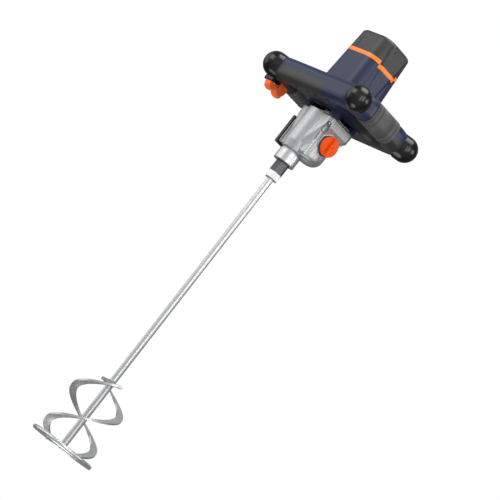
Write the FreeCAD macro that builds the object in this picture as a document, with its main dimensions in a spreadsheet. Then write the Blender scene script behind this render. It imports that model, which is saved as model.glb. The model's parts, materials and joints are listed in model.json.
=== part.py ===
import FreeCAD, Part
import math
import os
import Sketcher

V = FreeCAD.Vector

# Driving dimensions, in millimetres and degrees. The frame: Z runs up the spindle axis from the foot of the
# paddle, X from the trigger grip to the other grip, and the motor stands behind the spindle, towards +Y.
SIZES = {
    # paddle
    "ring_radius": 56, "ring_bar": 4, "ring_flat": 0.4, "spoke_bar": 3.5,
    "blade_inner": 39.5, "blade_outer": 52.5, "blade_thick": 3.5, "blade_top": 137,
    "blade_turn": 343, "blade_top_angle": -22.5, "top_bar_wide": 14, "top_bar_thick": 5, "top_bar_reach": 46,
    "paddle_length": 572, "shaft_radius": 6, "stud_radius": 7, "stud_depth": 18,
    "nut_flats": 22, "nut_height": 13, "nut_angle": 20,
    # fits
    "seat_play": 0.02, "running_play": 0.04, "joint_gap": 0.4, "wall_gap": 1.5,
    # output spindle
    "hex_flats": 22, "hex_length": 22, "hex_angle": 6.5, "socket_floor": 2,
    "shoulder_radius": 10.5, "journal_radius": 7.5, "top_journal": 5, "sleeve_wall": 2.5, "clip_thick": 1.2,
    # neck of the gearbox
    "neck_length": 20, "neck_groove": 4, "neck_radius": 18, "collar_wall": 2, "collar_lip": 1.5,
    "neck_bearing_outer": 16, "neck_bearing_width": 10, "seal_height": 3.5,
    # gears
    "motor_offset": 21.5, "pressure_angle": 20, "tooth_play": 0.16,
    "first_module": 0.75, "first_pinion_teeth": 7, "first_gear_teeth": 49, "first_gear_width": 7,
    "second_module": 1.25, "low_pinion_teeth": 10, "low_gear_teeth": 30,
    "high_pinion_teeth": 14, "high_gear_teeth": 26, "second_width": 7, "cluster_gap": 1,
    "pinion_addendum": 1.05, "first_gear_addendum": 0.35, "second_gear_addendum": 0.6, "dedendum": 1.25,
    "cluster_hex": 6.5, "cluster_collar": 7.2, "cluster_rim": 2.4, "layshaft_foot": 3, "layshaft_head": 4,
    "layshaft_seat": 5, "bush_length": 6, "bush_wall": 2.5, "first_gear_drop": 17,
    # selector
    "selector_rise": 40, "crank_offset": 5, "crank_turn": 120, "crank_pin": 2, "crank_play": 0.7,
    "crank_disc": 8, "crank_thick": 3.5, "selector_journal": 6, "selector_pad": 17, "selector_inset": 2,
    "base_radius": 18.5, "base_height": 4, "knob_radius": 17.5, "knob_height": 6, "knob_ridge": 6,
    "knob_ridge_wide": 9,
    # gearbox case
    "case_height": 83, "case_floor": 14, "case_wall": 3.2, "flange_wide": 90, "flange_deep": 66,
    "flange_corner": 12, "flange_height": 16, "waist_wide": 50, "waist_deep": 56, "waist_corner": 20,
    "waist_shift": 11,
    "waist_rise": 12, "boss_rise": 1, "boss_round": 8, "belly_x": 14, "belly_radius": 27, "belly_round": 19,
    "belly_drop": 2, "cover_inset": 1, "side_boss_deep": 32, "side_boss_shift": -9.5,
    "cover_thick": 6, "cover_deep": 36, "cover_low": 4, "cover_high": 60, "cover_rib": 2, "cover_ribs": 8,
    "screw_inset": 8, "screw_radius": 2.4, "screw_head": 4, "screw_head_height": 4,
    "screw_pocket": 4.8, "screw_flange": 9, "screw_reach": 10,
    # bearing plate
    "plate_height": 4, "plate_boss_drop": 8, "plate_boss_rise": 12, "motor_bearing_outer": 13,
    "motor_bearing_width": 8, "pinion_hole": 7,
    # motor
    "skirt_height": 12, "skirt_wall": 3.5, "vent_low": 1, "vent_high": 11,
    "housing_height": 120.5, "band_height": 7.5, "cap_height": 40, "band_step": 6,
    "housing_low_half": 49, "housing_top_half": 42, "housing_slim": 3.5, "housing_corner": 24,
    "housing_wall": 3, "housing_floor": 3, "cap_round": 7, "lobe_proud_low": 2, "lobe_proud_high": 6,
    "lobe_deep_low": 29, "lobe_deep_high": 53, "lobe_corner": 11, "lobe_start": 54, "lobe_drop": 4.5,
    "lobe_round": 3.5, "intake_slots": 7, "intake_wide": 3, "intake_long": 34, "intake_pitch": 6.5,
    "cap_screw_x": 14, "cap_screw_y": 27, "cap_boss": 5, "cap_boss_height": 20,
    "rotor_shaft": 6, "rotor_foot": 5, "rotor_head": 4, "fan_radius": 36, "fan_height": 10, "fan_hub": 10,
    "fan_plate": 2, "fan_blades": 9, "fan_blade_thick": 2, "fan_gap": 1, "winding_radius": 21.5,
    "winding_end": 9,
    "core_radius": 23, "core_height": 50, "core_slots": 12, "core_slot_wide": 3, "core_slot_deep": 9,
    "air_gap": 0.4, "stator_corner": 22, "coil_inner": 17, "coil_outer": 28, "coil_near": 24.5,
    "coil_far": 33, "coil_end": 8, "commutator_radius": 15, "commutator_height": 18, "commutator_drop": 20.5,
    "bracket_height": 4, "bracket_cup": 14, "bracket_cup_height": 19, "top_bearing_outer": 11,
    "top_bearing_width": 7, "bracket_hole": 9, "bracket_hole_at": 24,
    "brush_wide": 6, "brush_tall": 9, "brush_long": 13, "holder_wall": 1.5, "holder_end": 33,
    "brush_spring_turns": 2,
    # handle frame
    "frame_rise": 33, "frame_half_height": 21, "grip_x": 112, "arm_y": 65, "grip_half": 19, "arm_half": 18,
    "frame_corner": 45, "window_round": 0.41, "window_gap": 5, "frame_round": 14, "shell_wall": 3,
    "bumper_radius": 23, "bumper_neck": 12, "bumper_out_x": 6, "bumper_out_y": 8, "bumper_drop": 0.5,
    "split_x": 33, "sleeve_thick": 1.5, "sleeve_start": -37, "sleeve_end": 26, "left_sleeve_start": -21,
    "handle_screw_near": 12, "handle_screw_far": 44, "small_screw": 1.9, "small_head": 3.4,
    "small_head_height": 2.6,
    "small_recess": 3, "post_radius": 5.5, "pilot_depth": 10,
    "trigger_half": 8, "trigger_long": 43, "trigger_back": 16, "trigger_lobe": 12, "trigger_drop": 7.5,
    "trigger_flange": 1.3, "trigger_seat": 1.9, "trigger_flange_height": 2.7, "trigger_travel": 6,
    "trigger_pocket": 4.5, "trigger_pocket_deep": 8, "trigger_spring_radius": 3.4, "spring_wire": 0.4,
    "trigger_spring_turns": 7,
    "switch_half": 7,
    "lock_radius": 4.5, "lock_drop": 6, "lock_seat": 1.3, "lock_y": -28, "lock_proud": 2.5, "lock_long": 8,
    "lock_flange": 1, "lock_flange_thick": 2,
    "gland_x": -68, "gland_radius": 6.3, "gland_bore": 4.5, "gland_flange": 8, "gland_flange_thick": 3,
    "gland_nose": 7,
}

doc = FreeCAD.newDocument("mixing_drill")
sheet = doc.addObject("Spreadsheet::Sheet", "dims")
for row, (alias, size) in enumerate(SIZES.items(), start=1):
    sheet.set(f"A{row}", alias)
    sheet.set(f"B{row}", str(size))
    sheet.setAlias(f"B{row}", alias)
doc.recompute()

nodes = []


def number(expression):
    found = sheet.evalExpression(expression)
    return float(getattr(found, "Value", found))


def count(alias):
    return round(number(f"dims.{alias}"))


def node(thing, label):
    thing.Label = label
    nodes.append(thing)
    return thing


def place(thing, x="0", y="0", z="0"):
    for axis, expression in zip("xyz", (x, y, z)):
        thing.setExpression(f"Placement.Base.{axis}", expression)


def span(centre, half):
    return f"({centre}) - ({half})", f"({centre}) + ({half})"


def block(name, xs, ys, zs):
    thing = doc.addObject("Part::Box", name)
    for side, axis, (low, high) in zip(("Length", "Width", "Height"), "xyz", (xs, ys, zs)):
        thing.setExpression(side, f"({high}) - ({low})")
        thing.setExpression(f"Placement.Base.{axis}", low)
    return thing


LYING = {
    "x": FreeCAD.Rotation(V(0, 1, 0), 90),
    "y": FreeCAD.Rotation(V(1, 0, 0), -90),
    "z": FreeCAD.Rotation(),
}


def rod(name, radius, height, x="0", y="0", z="0", along="z"):
    thing = doc.addObject("Part::Cylinder", name)
    thing.setExpression("Radius", radius)
    thing.setExpression("Height", height)
    thing.Placement = FreeCAD.Placement(V(), LYING[along])
    place(thing, x, y, z)
    return thing


def rod_between(name, radius, low, high, x="0", y="0"):
    return rod(name, radius, f"({high}) - ({low})", x, y, low)


def hexagon(name, flats, height, z, angle):
    thing = doc.addObject("Part::Prism", name)
    thing.Polygon = 6
    thing.setExpression("Circumradius", f"{flats} / 2 / cos(30)")
    thing.setExpression("Height", height)
    thing.Placement = FreeCAD.Placement(V(), FreeCAD.Rotation(V(0, 0, 1), number(angle)))
    place(thing, z=z)
    return thing


def ball(name, radius, x, y, z):
    thing = doc.addObject("Part::Sphere", name)
    thing.setExpression("Radius", radius)
    place(thing, x, y, z)
    return thing


def fuse(name, *things):
    thing = doc.addObject("Part::MultiFuse", name)
    thing.Shapes = list(things)
    thing.Refine = True
    return thing


def group(name, *things):
    thing = doc.addObject("Part::Compound", name)
    thing.Links = list(things)
    return thing


def cut(name, base, *tools):
    thing = doc.addObject("Part::Cut", name)
    thing.Base = base
    thing.Tool = tools[0] if len(tools) == 1 else fuse(f"{name}_tools", *tools)
    thing.Refine = True
    return thing


def common(name, one, other):
    thing = doc.addObject("Part::MultiCommon", name)
    thing.Shapes = [one, other]
    thing.Refine = True
    return thing


def tube(name, outer, inner, low, high, x="0", y="0"):
    return cut(name, rod_between(f"{name}_outer", outer, low, high, x, y),
               rod_between(f"{name}_inner", inner, low, high, x, y))


def rounded(name, base, radius, wanted):
    doc.recompute()
    thing = doc.addObject("Part::Fillet", name)
    thing.Base = base
    size = number(radius)
    edges = [i for i, edge in enumerate(base.Shape.Edges, start=1) if wanted(edge)]
    thing.Edges = [(i, size, size) for i in edges]
    return thing


def at_height(*heights):
    levels = [number(h) for h in heights]
    return lambda edge: any(
        all(abs(v.Z - level) < 1e-4 for v in edge.Vertexes) and abs(edge.CenterOfMass.z - level) < 1e-4
        for level in levels)


def solid(name, shape, x="0", y="0", z="0", angle=0.0):
    thing = doc.addObject("Part::Feature", name)
    thing.Shape = shape
    turn = FreeCAD.Rotation(V(0, 0, 1), angle)
    thing.Placement = FreeCAD.Placement(V(number(x), number(y), number(z)), turn)
    return thing


def origin_plane(body, role):
    return next(plane for plane in body.Origin.OriginFeatures if plane.Role == role)


def rounded_sketch(body, name, width, depth, corner, y, z, x="0"):
    """A rectangle with round corners on a level plane, driven by the sheet."""
    sketch = body.newObject("Sketcher::SketchObject", name)
    sketch.AttachmentSupport = [(origin_plane(body, "XY_Plane"), "")]
    sketch.MapMode = "FlatFace"
    sketch.setExpression("AttachmentOffset.Base.z", z)
    w, d, r, mid_x, mid_y = (number(e) for e in (width, depth, corner, x, y))
    left, right, front, back = mid_x - w / 2, mid_x + w / 2, mid_y - d / 2, mid_y + d / 2
    lines = (
        ((left + r, front), (right - r, front)), ((right, front + r), (right, back - r)),
        ((right - r, back), (left + r, back)), ((left, back - r), (left, front + r)),
    )
    centres = (
        (right - r, front + r), (right - r, back - r), (left + r, back - r), (left + r, front + r),
    )
    for start, end in lines:
        sketch.addGeometry(Part.LineSegment(V(*start, 0), V(*end, 0)), False)
    for quarter, centre in enumerate(centres):
        circle = Part.Circle(V(*centre, 0), V(0, 0, 1), r)
        first = math.radians(90 * (quarter - 1))
        sketch.addGeometry(Part.ArcOfCircle(circle, first, first + math.pi / 2), False)
    for side in range(4):
        arc = side + 4
        sketch.addConstraint(Sketcher.Constraint("Tangent", side, 2, arc, 1))
        sketch.addConstraint(Sketcher.Constraint("Tangent", arc, 2, (side + 1) % 4, 1))
    for side in (0, 2):
        sketch.addConstraint(Sketcher.Constraint("Horizontal", side))
        sketch.addConstraint(Sketcher.Constraint("Vertical", side + 1))
    for arc in (5, 6, 7):
        sketch.addConstraint(Sketcher.Constraint("Equal", 4, arc))
    driven = (
        ("Radius", (4,), r, corner),
        ("DistanceX", (3, 1, 1, 1), w, width),
        ("DistanceY", (0, 1, 2, 1), d, depth),
        ("DistanceX", (-1, 1, 1, 1), right, f"({x}) + ({width}) / 2"),
        ("DistanceY", (-1, 1, 2, 1), back, f"({y}) + ({depth}) / 2"),
    )
    for kind, points, size, expression in driven:
        index = sketch.addConstraint(Sketcher.Constraint(kind, *points, size))
        sketch.setExpression(f"Constraints[{index}]", expression)
    return sketch


def plate(name, width, depth, corner, low, high, y="dims.motor_offset", x="0"):
    body = doc.addObject("PartDesign::Body", name)
    sketch = rounded_sketch(body, f"{name}_outline", width, depth, corner, y, low, x)
    pad = body.newObject("PartDesign::Pad", f"{name}_pad")
    pad.Profile = sketch
    pad.setExpression("Length", f"({high}) - ({low})")
    return body


def tapered(name, sections):
    """A loft through level rounded rectangles: (width, depth, corner, y, z) each."""
    body = doc.addObject("PartDesign::Body", name)
    sketches = [rounded_sketch(body, f"{name}_{i}", *section) for i, section in enumerate(sections)]
    loft = body.newObject("PartDesign::AdditiveLoft", f"{name}_loft")
    loft.Profile = sketches[0]
    loft.Sections = sketches[1:]
    return body


# Levels up the spindle axis, each from the one below it.
nut_z = "dims.paddle_length"
hex_z = f"({nut_z} + dims.nut_height)"
neck_z = f"({hex_z} + dims.hex_length)"
groove_z = f"({neck_z} + dims.neck_length)"
case_z = f"({groove_z} + dims.neck_groove)"
flange_z = f"({case_z} + dims.case_height)"
skirt_z = f"({flange_z} + dims.skirt_height)"
frame_z = f"({flange_z} + dims.frame_rise)"
band_z = f"({flange_z} + dims.housing_height)"
cap_z = f"({band_z} + dims.band_height)"
top_z = f"({cap_z} + dims.cap_height)"
motor_y = "dims.motor_offset"

# Gear centres: the intermediate shaft stands at the corner of a triangle with the spindle and the motor.
first_centre = "(dims.first_module * (dims.first_pinion_teeth + dims.first_gear_teeth) / 2)"
second_centre = "(dims.second_module * (dims.low_pinion_teeth + dims.low_gear_teeth) / 2)"
lay_y = f"(({motor_y} ^ 2 + {second_centre} ^ 2 - {first_centre} ^ 2) / (2 * {motor_y}))"
lay_x = f"sqrt({second_centre} ^ 2 - {lay_y} ^ 2)"
selector_z = f"({case_z} + dims.selector_rise)"
selector_y = f"({lay_y} + dims.crank_offset * cos(dims.crank_turn / 2))"
shift_travel = "(2 * dims.crank_offset * sin(dims.crank_turn / 2))"
cluster_groove = "(2 * dims.crank_pin + 2 * dims.crank_play)"
cluster_z = (f"({selector_z} - {shift_travel} / 2 - {cluster_groove} / 2"
             " - 2 * dims.second_width - dims.cluster_gap)")
high_gear_z = f"({cluster_z} + dims.second_width + dims.cluster_gap + {shift_travel})"
first_gear_z = f"({flange_z} - dims.first_gear_drop)"
lay_angle = math.degrees(math.atan2(number(lay_y), number(lay_x)))
mesh_angle = math.degrees(math.atan2(number(motor_y) - number(lay_y), -number(lay_x)))


def gear_blank(teeth, module, addendum, width):
    """An involute gear on the Z axis, from z = 0, with a tooth centred on +X."""
    radius = teeth * module / 2
    slope = math.radians(number("dims.pressure_angle"))
    base = radius * math.cos(slope)
    root = radius - number("dims.dedendum") * module
    tip = radius + addendum * module
    start = max(base, root)
    half_tooth = math.pi / (2 * teeth) - number("dims.tooth_play") / (2 * radius)

    def half_angle(at):
        unrolled = math.acos(min(1.0, base / at))
        return half_tooth + math.tan(slope) - slope - math.tan(unrolled) + unrolled

    steps = (0.0, 0.3, 0.65, 1.0)
    flank = [(start + (tip - start) * s, half_angle(start + (tip - start) * s)) for s in steps]
    side = [(root, half_angle(start))] * (root < start - 0.01) + flank
    tooth = [(r, -a) for r, a in side] + [(r, a) for r, a in reversed(side)]
    points = []
    for k in range(teeth):
        turn = 2 * math.pi * k / teeth
        points += [V(r * math.cos(a + turn), r * math.sin(a + turn), 0) for r, a in tooth]
    outline = Part.makePolygon(points + points[:1])
    return Part.Face(outline).extrude(V(0, 0, width))


def bored(shape, radius, height):
    return shape.cut(Part.makeCylinder(radius, height))


def wound(inner, outer, half_height, turns, rise):
    """A strip with an upright oblong section wound round the Z axis, the middle of its first end at z = 0."""
    corners = [V(inner, 0, -half_height), V(outer, 0, -half_height), V(outer, 0, half_height),
               V(inner, 0, half_height)]
    section = Part.makePolygon(corners + corners[:1])
    helix = Part.makeHelix(rise / turns, rise, (inner + outer) / 2)
    return Part.Wire(helix).makePipeShell([section], True, True)


def coil(radius, wire, turns, length):
    """A spring of square wire, this long in all."""
    return wound(radius - wire, radius + wire, wire, turns, length - 2 * wire)


def bearing(label, bore, outer, width, x, y, z):
    """A sealed bearing: a ring with a shallow recess for the seal in both faces."""
    high = f"({z} + {width})"
    lip = "1.5"
    deep = "0.6"
    ring = tube(f"{label}_ring", outer, f"{bore} + dims.running_play", z, high, x, y)
    low_recess = tube(f"{label}_low", f"{outer} - {lip}", f"{bore} + {lip}", z, f"{z} + {deep}", x, y)
    high_recess = tube(f"{label}_high", f"{outer} - {lip}", f"{bore} + {lip}", f"{high} - {deep}", high, x, y)
    return node(cut(label, ring, low_recess, high_recess), label)


# Paddle: a ground ring of round bar, a spoke, two ribbon blades, a bar over their tops and the long shaft.
ring_z = "(dims.ring_bar - dims.ring_flat)"
ring_torus = doc.addObject("Part::Torus", "ring_torus")
ring_torus.setExpression("Radius1", "dims.ring_radius")
ring_torus.setExpression("Radius2", "dims.ring_bar")
place(ring_torus, z=ring_z)
above_ground = rod("above_ground", "dims.ring_radius * 2", "dims.ring_bar * 4")
paddle_ring = node(common("paddle_ring", ring_torus, above_ground), "paddle_ring")

shaft_rod = rod("shaft_rod", "dims.shaft_radius", nut_z)
stud = rod_between("stud", "dims.stud_radius", nut_z, f"{hex_z} + dims.stud_depth")
paddle_shaft = node(fuse("paddle_shaft", shaft_rod, stud), "paddle_shaft")

foot_angle = number("dims.blade_top_angle - dims.blade_turn")
spoke_rod = rod("spoke_rod", "dims.spoke_bar", "2 * dims.ring_radius", along="x")
spoke_rod.Placement.Rotation = FreeCAD.Rotation(V(0, 0, 1), foot_angle).multiply(LYING["x"])
place(spoke_rod, f"-dims.ring_radius * cos({foot_angle})", f"-dims.ring_radius * sin({foot_angle})", ring_z)
ring_spoke = node(cut("ring_spoke", spoke_rod, ring_torus, shaft_rod), "ring_spoke")

top_bar_box = block("top_bar_box", span("0", "dims.top_bar_reach"), span("0", "dims.top_bar_wide / 2"),
                    ("dims.blade_top - dims.top_bar_thick / 2", "dims.blade_top + dims.top_bar_thick / 2"))
top_bar_box.Placement.Rotation = FreeCAD.Rotation(V(0, 0, 1), number("dims.blade_top_angle"))
bar_turn = "dims.blade_top_angle"
place(top_bar_box,
      f"-dims.top_bar_reach * cos({bar_turn}) + dims.top_bar_wide / 2 * sin({bar_turn})",
      f"-dims.top_bar_reach * sin({bar_turn}) - dims.top_bar_wide / 2 * cos({bar_turn})",
      "dims.blade_top - dims.top_bar_thick / 2")
top_bar = node(cut("top_bar", top_bar_box, shaft_rod), "top_bar")


def ribbon():
    """One blade: a flat strip, its flat side set radially, as high as from the ring to the top bar."""
    rise = number(f"dims.blade_top - {ring_z}")
    turns = number("dims.blade_turn") / 360
    inner, outer = number("dims.blade_inner"), number("dims.blade_outer")
    slope = rise / turns / (math.pi * (inner + outer))
    return wound(inner, outer, number("dims.blade_thick") * math.hypot(1, slope) / 2, turns, rise)


for side, turn in (("a", 0), ("b", 180)):
    strip = solid(f"strip_{side}", ribbon(), z=ring_z, angle=foot_angle + turn)
    node(cut(f"helix_blade_{side}", strip, ring_torus, spoke_rod, top_bar_box), f"helix_blade_{side}")

nut_blank = hexagon("nut_blank", "dims.nut_flats", "dims.nut_height", nut_z, "dims.nut_angle")
nut_bore = rod_between("nut_bore", "dims.stud_radius + dims.seat_play", nut_z, hex_z)
node(cut("lock_nut", nut_blank, nut_bore), "lock_nut")

# Output spindle with its hexagonal socket end, and what is stacked on it.
seal_top = f"({neck_z} + dims.collar_lip + dims.seal_height)"
neck_bearing_top = f"({seal_top} + dims.neck_bearing_width)"
high_gear_top = f"({high_gear_z} + dims.second_width)"
bush_top = f"({flange_z} - 1)"
hex_end = hexagon("hex_end", "dims.hex_flats", "dims.hex_length", hex_z, "dims.hex_angle")
shoulder = rod_between("shoulder", "dims.shoulder_radius", neck_z, seal_top)
journal = rod_between("journal", "dims.journal_radius", seal_top, f"{high_gear_top} + dims.clip_thick")
head = rod_between("head", "dims.top_journal", high_gear_top, bush_top)
socket = rod_between("socket", "dims.stud_radius + dims.seat_play", hex_z,
                     f"{hex_z} + dims.stud_depth + dims.socket_floor")
node(cut("output_spindle", fuse("spindle_blank", hex_end, shoulder, journal, head), socket), "output_spindle")
node(tube("spindle_sleeve", "dims.journal_radius + dims.sleeve_wall", "dims.journal_radius + dims.seat_play",
          f"{neck_bearing_top} + dims.joint_gap", cluster_z), "spindle_sleeve")
node(tube("gear_spacer", "dims.journal_radius + dims.sleeve_wall", "dims.journal_radius + dims.seat_play",
          f"{cluster_z} + dims.second_width", high_gear_z), "gear_spacer")
node(tube("spindle_circlip", "dims.journal_radius + dims.clip_thick", "dims.journal_radius + dims.seat_play",
          high_gear_top, f"{high_gear_top} + dims.clip_thick"), "spindle_circlip")
second_module = number("dims.second_module")
second_width = number("dims.second_width")
seat_bore = number("dims.journal_radius + dims.seat_play")
for label, teeth, level in (("low_gear", "low_gear_teeth", cluster_z),
                            ("high_gear", "high_gear_teeth", high_gear_z)):
    blank = gear_blank(count(teeth), second_module, number("dims.second_gear_addendum"), second_width)
    node(solid(label, bored(blank, seat_bore, second_width), z=level, angle=lay_angle), label)

# Intermediate shaft: a hexagon that the shift cluster slides on, between two bushes, under the first gear.
lay_foot_z = f"({case_z} + dims.case_floor - dims.bush_length)"
hex_low = f"({case_z} + dims.case_floor + 1)"
first_gear_top = f"({first_gear_z} + dims.first_gear_width)"
lay_foot = rod_between("lay_foot", "dims.layshaft_foot", lay_foot_z, hex_low, lay_x, lay_y)
lay_hex = hexagon("lay_hex", "dims.cluster_hex", f"{first_gear_z} - {hex_low}", hex_low, "0")
place(lay_hex, lay_x, lay_y, hex_low)
lay_seat = rod_between("lay_seat", "dims.layshaft_seat", first_gear_z, first_gear_top, lay_x, lay_y)
lay_head = rod_between("lay_head", "dims.layshaft_head", first_gear_top, bush_top, lay_x, lay_y)
node(fuse("intermediate_shaft", lay_foot, lay_hex, lay_seat, lay_head), "intermediate_shaft")
first_module = number("dims.first_module")
first_width = number("dims.first_gear_width")
first_blank = gear_blank(count("first_gear_teeth"), first_module, number("dims.first_gear_addendum"),
                         first_width)
first_bore = number("dims.layshaft_seat + dims.seat_play")
node(solid("first_stage_gear", bored(first_blank, first_bore, first_width), lay_x, lay_y, first_gear_z,
           mesh_angle),
     "first_stage_gear")


def cluster():
    """Low pinion, high pinion, the crank pin's groove and its rim, with a hexagonal bore, from z = 0."""
    gap, groove, rim = (number(e) for e in ("dims.cluster_gap", cluster_groove, "dims.cluster_rim"))
    addendum = number("dims.pinion_addendum")
    collar = number("dims.cluster_collar")
    waist = collar - number("dims.crank_pin")
    low_teeth, high_teeth = count("low_pinion_teeth"), count("high_pinion_teeth")
    low = gear_blank(low_teeth, second_module, addendum, second_width)
    high = gear_blank(high_teeth, second_module, addendum, second_width)
    # a gap, not a tooth, faces the gear on the spindle
    low.rotate(V(), V(0, 0, 1), lay_angle + 180 + 180 / low_teeth)
    high.rotate(V(), V(0, 0, 1), lay_angle + 180 + 180 / high_teeth)
    high.translate(V(0, 0, second_width + gap))
    high_top = 2 * second_width + gap
    neck = Part.makeCylinder(waist, high_top + groove)
    top = Part.makeCylinder(collar, rim, V(0, 0, high_top + groove))
    flats = number("dims.cluster_hex / 2 + dims.running_play * 2")
    corner = flats / math.cos(math.pi / 6)
    points = [V(corner * math.cos(math.radians(60 * k)), corner * math.sin(math.radians(60 * k)), 0)
              for k in range(7)]
    bore = Part.Face(Part.makePolygon(points)).extrude(V(0, 0, high_top + groove + rim))
    return low.multiFuse([high, neck, top]).removeSplitter().cut(bore)


node(solid("shift_cluster", cluster(), lay_x, lay_y, cluster_z), "shift_cluster")

# Selector: knob, crank shaft with its pin in the cluster's groove, and the ring under the knob, which lies
# clear of the gear boss and near the flange's edge.
first_tip = "(dims.first_module * (dims.first_gear_teeth / 2 + dims.first_gear_addendum))"
lay_room = f"({first_tip} + dims.wall_gap / 2)"
boss_reach = f"({lay_x} + {lay_room} + dims.case_wall + dims.joint_gap)"
base_x = f"max(dims.flange_wide / 2 - dims.selector_inset; {boss_reach})"
knob_x = f"({base_x} + dims.base_height + dims.joint_gap)"
high_pinion_tip = "dims.second_module * (dims.high_pinion_teeth / 2 + dims.pinion_addendum)"
disc_x = f"({lay_x} + {high_pinion_tip} + dims.joint_gap)"
pin_x = f"({lay_x} + dims.cluster_collar - dims.crank_pin + dims.joint_gap)"
pin_y = f"({selector_y} - dims.crank_offset * cos(dims.crank_turn / 2))"
pin_z = f"({selector_z} - dims.crank_offset * sin(dims.crank_turn / 2))"
crank_disc = rod("crank_disc", "dims.crank_disc", "dims.crank_thick", disc_x, selector_y, selector_z, "x")
crank_pin = rod("crank_pin", "dims.crank_pin", f"{disc_x} + 1 - {pin_x}", pin_x, pin_y, pin_z, "x")
crank_journal = rod("crank_journal", "dims.selector_journal - dims.running_play", f"{knob_x} - {disc_x}",
                    disc_x, selector_y, selector_z, "x")
spline_half = "dims.selector_journal * 0.6"
crank_square = block("crank_square", (knob_x, f"{knob_x} + dims.knob_height - 2"),
                     span(selector_y, spline_half), span(selector_z, spline_half))
node(fuse("selector_shaft", crank_disc, crank_pin, crank_journal, crank_square), "selector_shaft")
node(cut("selector_base",
         rod("base_disc", "dims.base_radius", "dims.base_height", base_x, selector_y, selector_z, "x"),
         rod("base_hole", "dims.selector_journal + dims.joint_gap", "dims.base_height", base_x, selector_y,
             selector_z, "x")), "selector_base")
knob_disc = rod("knob_disc", "dims.knob_radius", "dims.knob_height", knob_x, selector_y, selector_z, "x")
ridge_box = block("ridge_box", (f"{knob_x} + dims.knob_height - 1",
                                f"{knob_x} + dims.knob_height + dims.knob_ridge"),
                  span(selector_y, "dims.knob_ridge_wide / 2"), span(selector_z, "dims.knob_radius"))
ridge_bound = rod("ridge_bound", "dims.knob_radius", "dims.knob_height + dims.knob_ridge", knob_x, selector_y,
                  selector_z, "x")
knob_ridge = common("knob_ridge", ridge_box, ridge_bound)
knob_socket = block("knob_socket", (knob_x, f"{knob_x} + dims.knob_height - 2"),
                    span(selector_y, f"{spline_half} + dims.seat_play"),
                    span(selector_z, f"{spline_half} + dims.seat_play"))
node(cut("selector_knob", fuse("knob_blank", knob_disc, knob_ridge), knob_socket), "selector_knob")

# Gearbox case: a cone round the spindle, a boss round the intermediate shaft and a waist that widens
# to the flange.
low_tip = "(dims.second_module * (dims.low_gear_teeth / 2 + dims.second_gear_addendum))"
spindle_room = f"({low_tip} + dims.wall_gap / 2)"
floor_z = f"({case_z} + dims.case_floor)"
flange_low = f"({flange_z} - dims.flange_height)"
collar_radius = "(dims.neck_radius + dims.collar_wall)"
cone = doc.addObject("Part::Cone", "cone")
cone.setExpression("Radius1", f"{collar_radius} + 0.6")
cone.setExpression("Radius2", f"{spindle_room} + dims.case_wall")
cone.setExpression("Height", f"{floor_z} - {case_z} + 2")
place(cone, z=case_z)
barrel = rod_between("barrel", f"{spindle_room} + dims.case_wall", f"{floor_z} + 2", flange_z)
lay_boss_sharp = rod_between("lay_boss_sharp", f"{lay_room} + dims.case_wall", f"{case_z} + dims.boss_rise",
                             flange_z, lay_x, lay_y)
lay_boss = rounded("lay_boss", lay_boss_sharp, "dims.boss_round", at_height(f"{case_z} + dims.boss_rise"))
waist = tapered("waist", (
    ("dims.waist_wide", "dims.waist_deep", "dims.waist_corner", "dims.waist_shift",
     f"{case_z} + dims.waist_rise"),
    ("dims.flange_wide", "dims.flange_deep", "dims.flange_corner", motor_y, flange_low),
))
belly_sharp = rod_between("belly_sharp", "dims.belly_radius", f"{case_z} - dims.belly_drop", flange_low,
                          "dims.belly_x", motor_y)
belly = rounded("belly", belly_sharp, "dims.belly_round", at_height(f"{case_z} - dims.belly_drop"))
flange = plate("flange", "dims.flange_wide", "dims.flange_deep", "dims.flange_corner", flange_low, flange_z)
side_boss_y = f"({motor_y} + dims.side_boss_shift)"
side_boss_x = "(dims.flange_wide / 2 - dims.cover_inset)"
side_boss = block("side_boss", (f"-{side_boss_x}", "0"), span(side_boss_y, "dims.side_boss_deep / 2"),
                  (f"{case_z} + dims.cover_low + 4", flange_low))
selector_pad = rod("selector_pad", "dims.selector_pad", f"{base_x} - {lay_x}", lay_x, selector_y,
                   selector_z, "x")
neck = rod_between("neck", "dims.neck_radius", f"{neck_z} + dims.collar_lip", f"{case_z} + 1")
case_blank = fuse("case_blank", cone, barrel, lay_boss, belly, waist, flange, side_boss, selector_pad, neck)
bearing_seat = rod_between("bearing_seat", "dims.neck_bearing_outer + dims.seat_play",
                           f"{neck_z} + dims.collar_lip",
                           neck_bearing_top)
sleeve_hole = rod_between("sleeve_hole", "dims.journal_radius + dims.sleeve_wall + dims.wall_gap",
                          neck_bearing_top,
                          floor_z)
spindle_cavity = rod_between("spindle_cavity", spindle_room, floor_z, flange_z)
lay_cavity = rod_between("lay_cavity", lay_room, floor_z, flange_z, lay_x, lay_y)
motor_cavity = rod_between("motor_cavity", "dims.motor_bearing_outer",
                           f"{first_gear_z} - dims.wall_gap * 4", flange_z,
                           "0", motor_y)
lay_seat_hole = rod_between("lay_seat_hole", "dims.layshaft_foot + dims.running_play", lay_foot_z,
                            floor_z, lay_x, lay_y)
selector_hole = rod("selector_hole", "dims.selector_journal", f"{base_x} - {lay_x}", lay_x, selector_y,
                    selector_z, "x")
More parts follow.
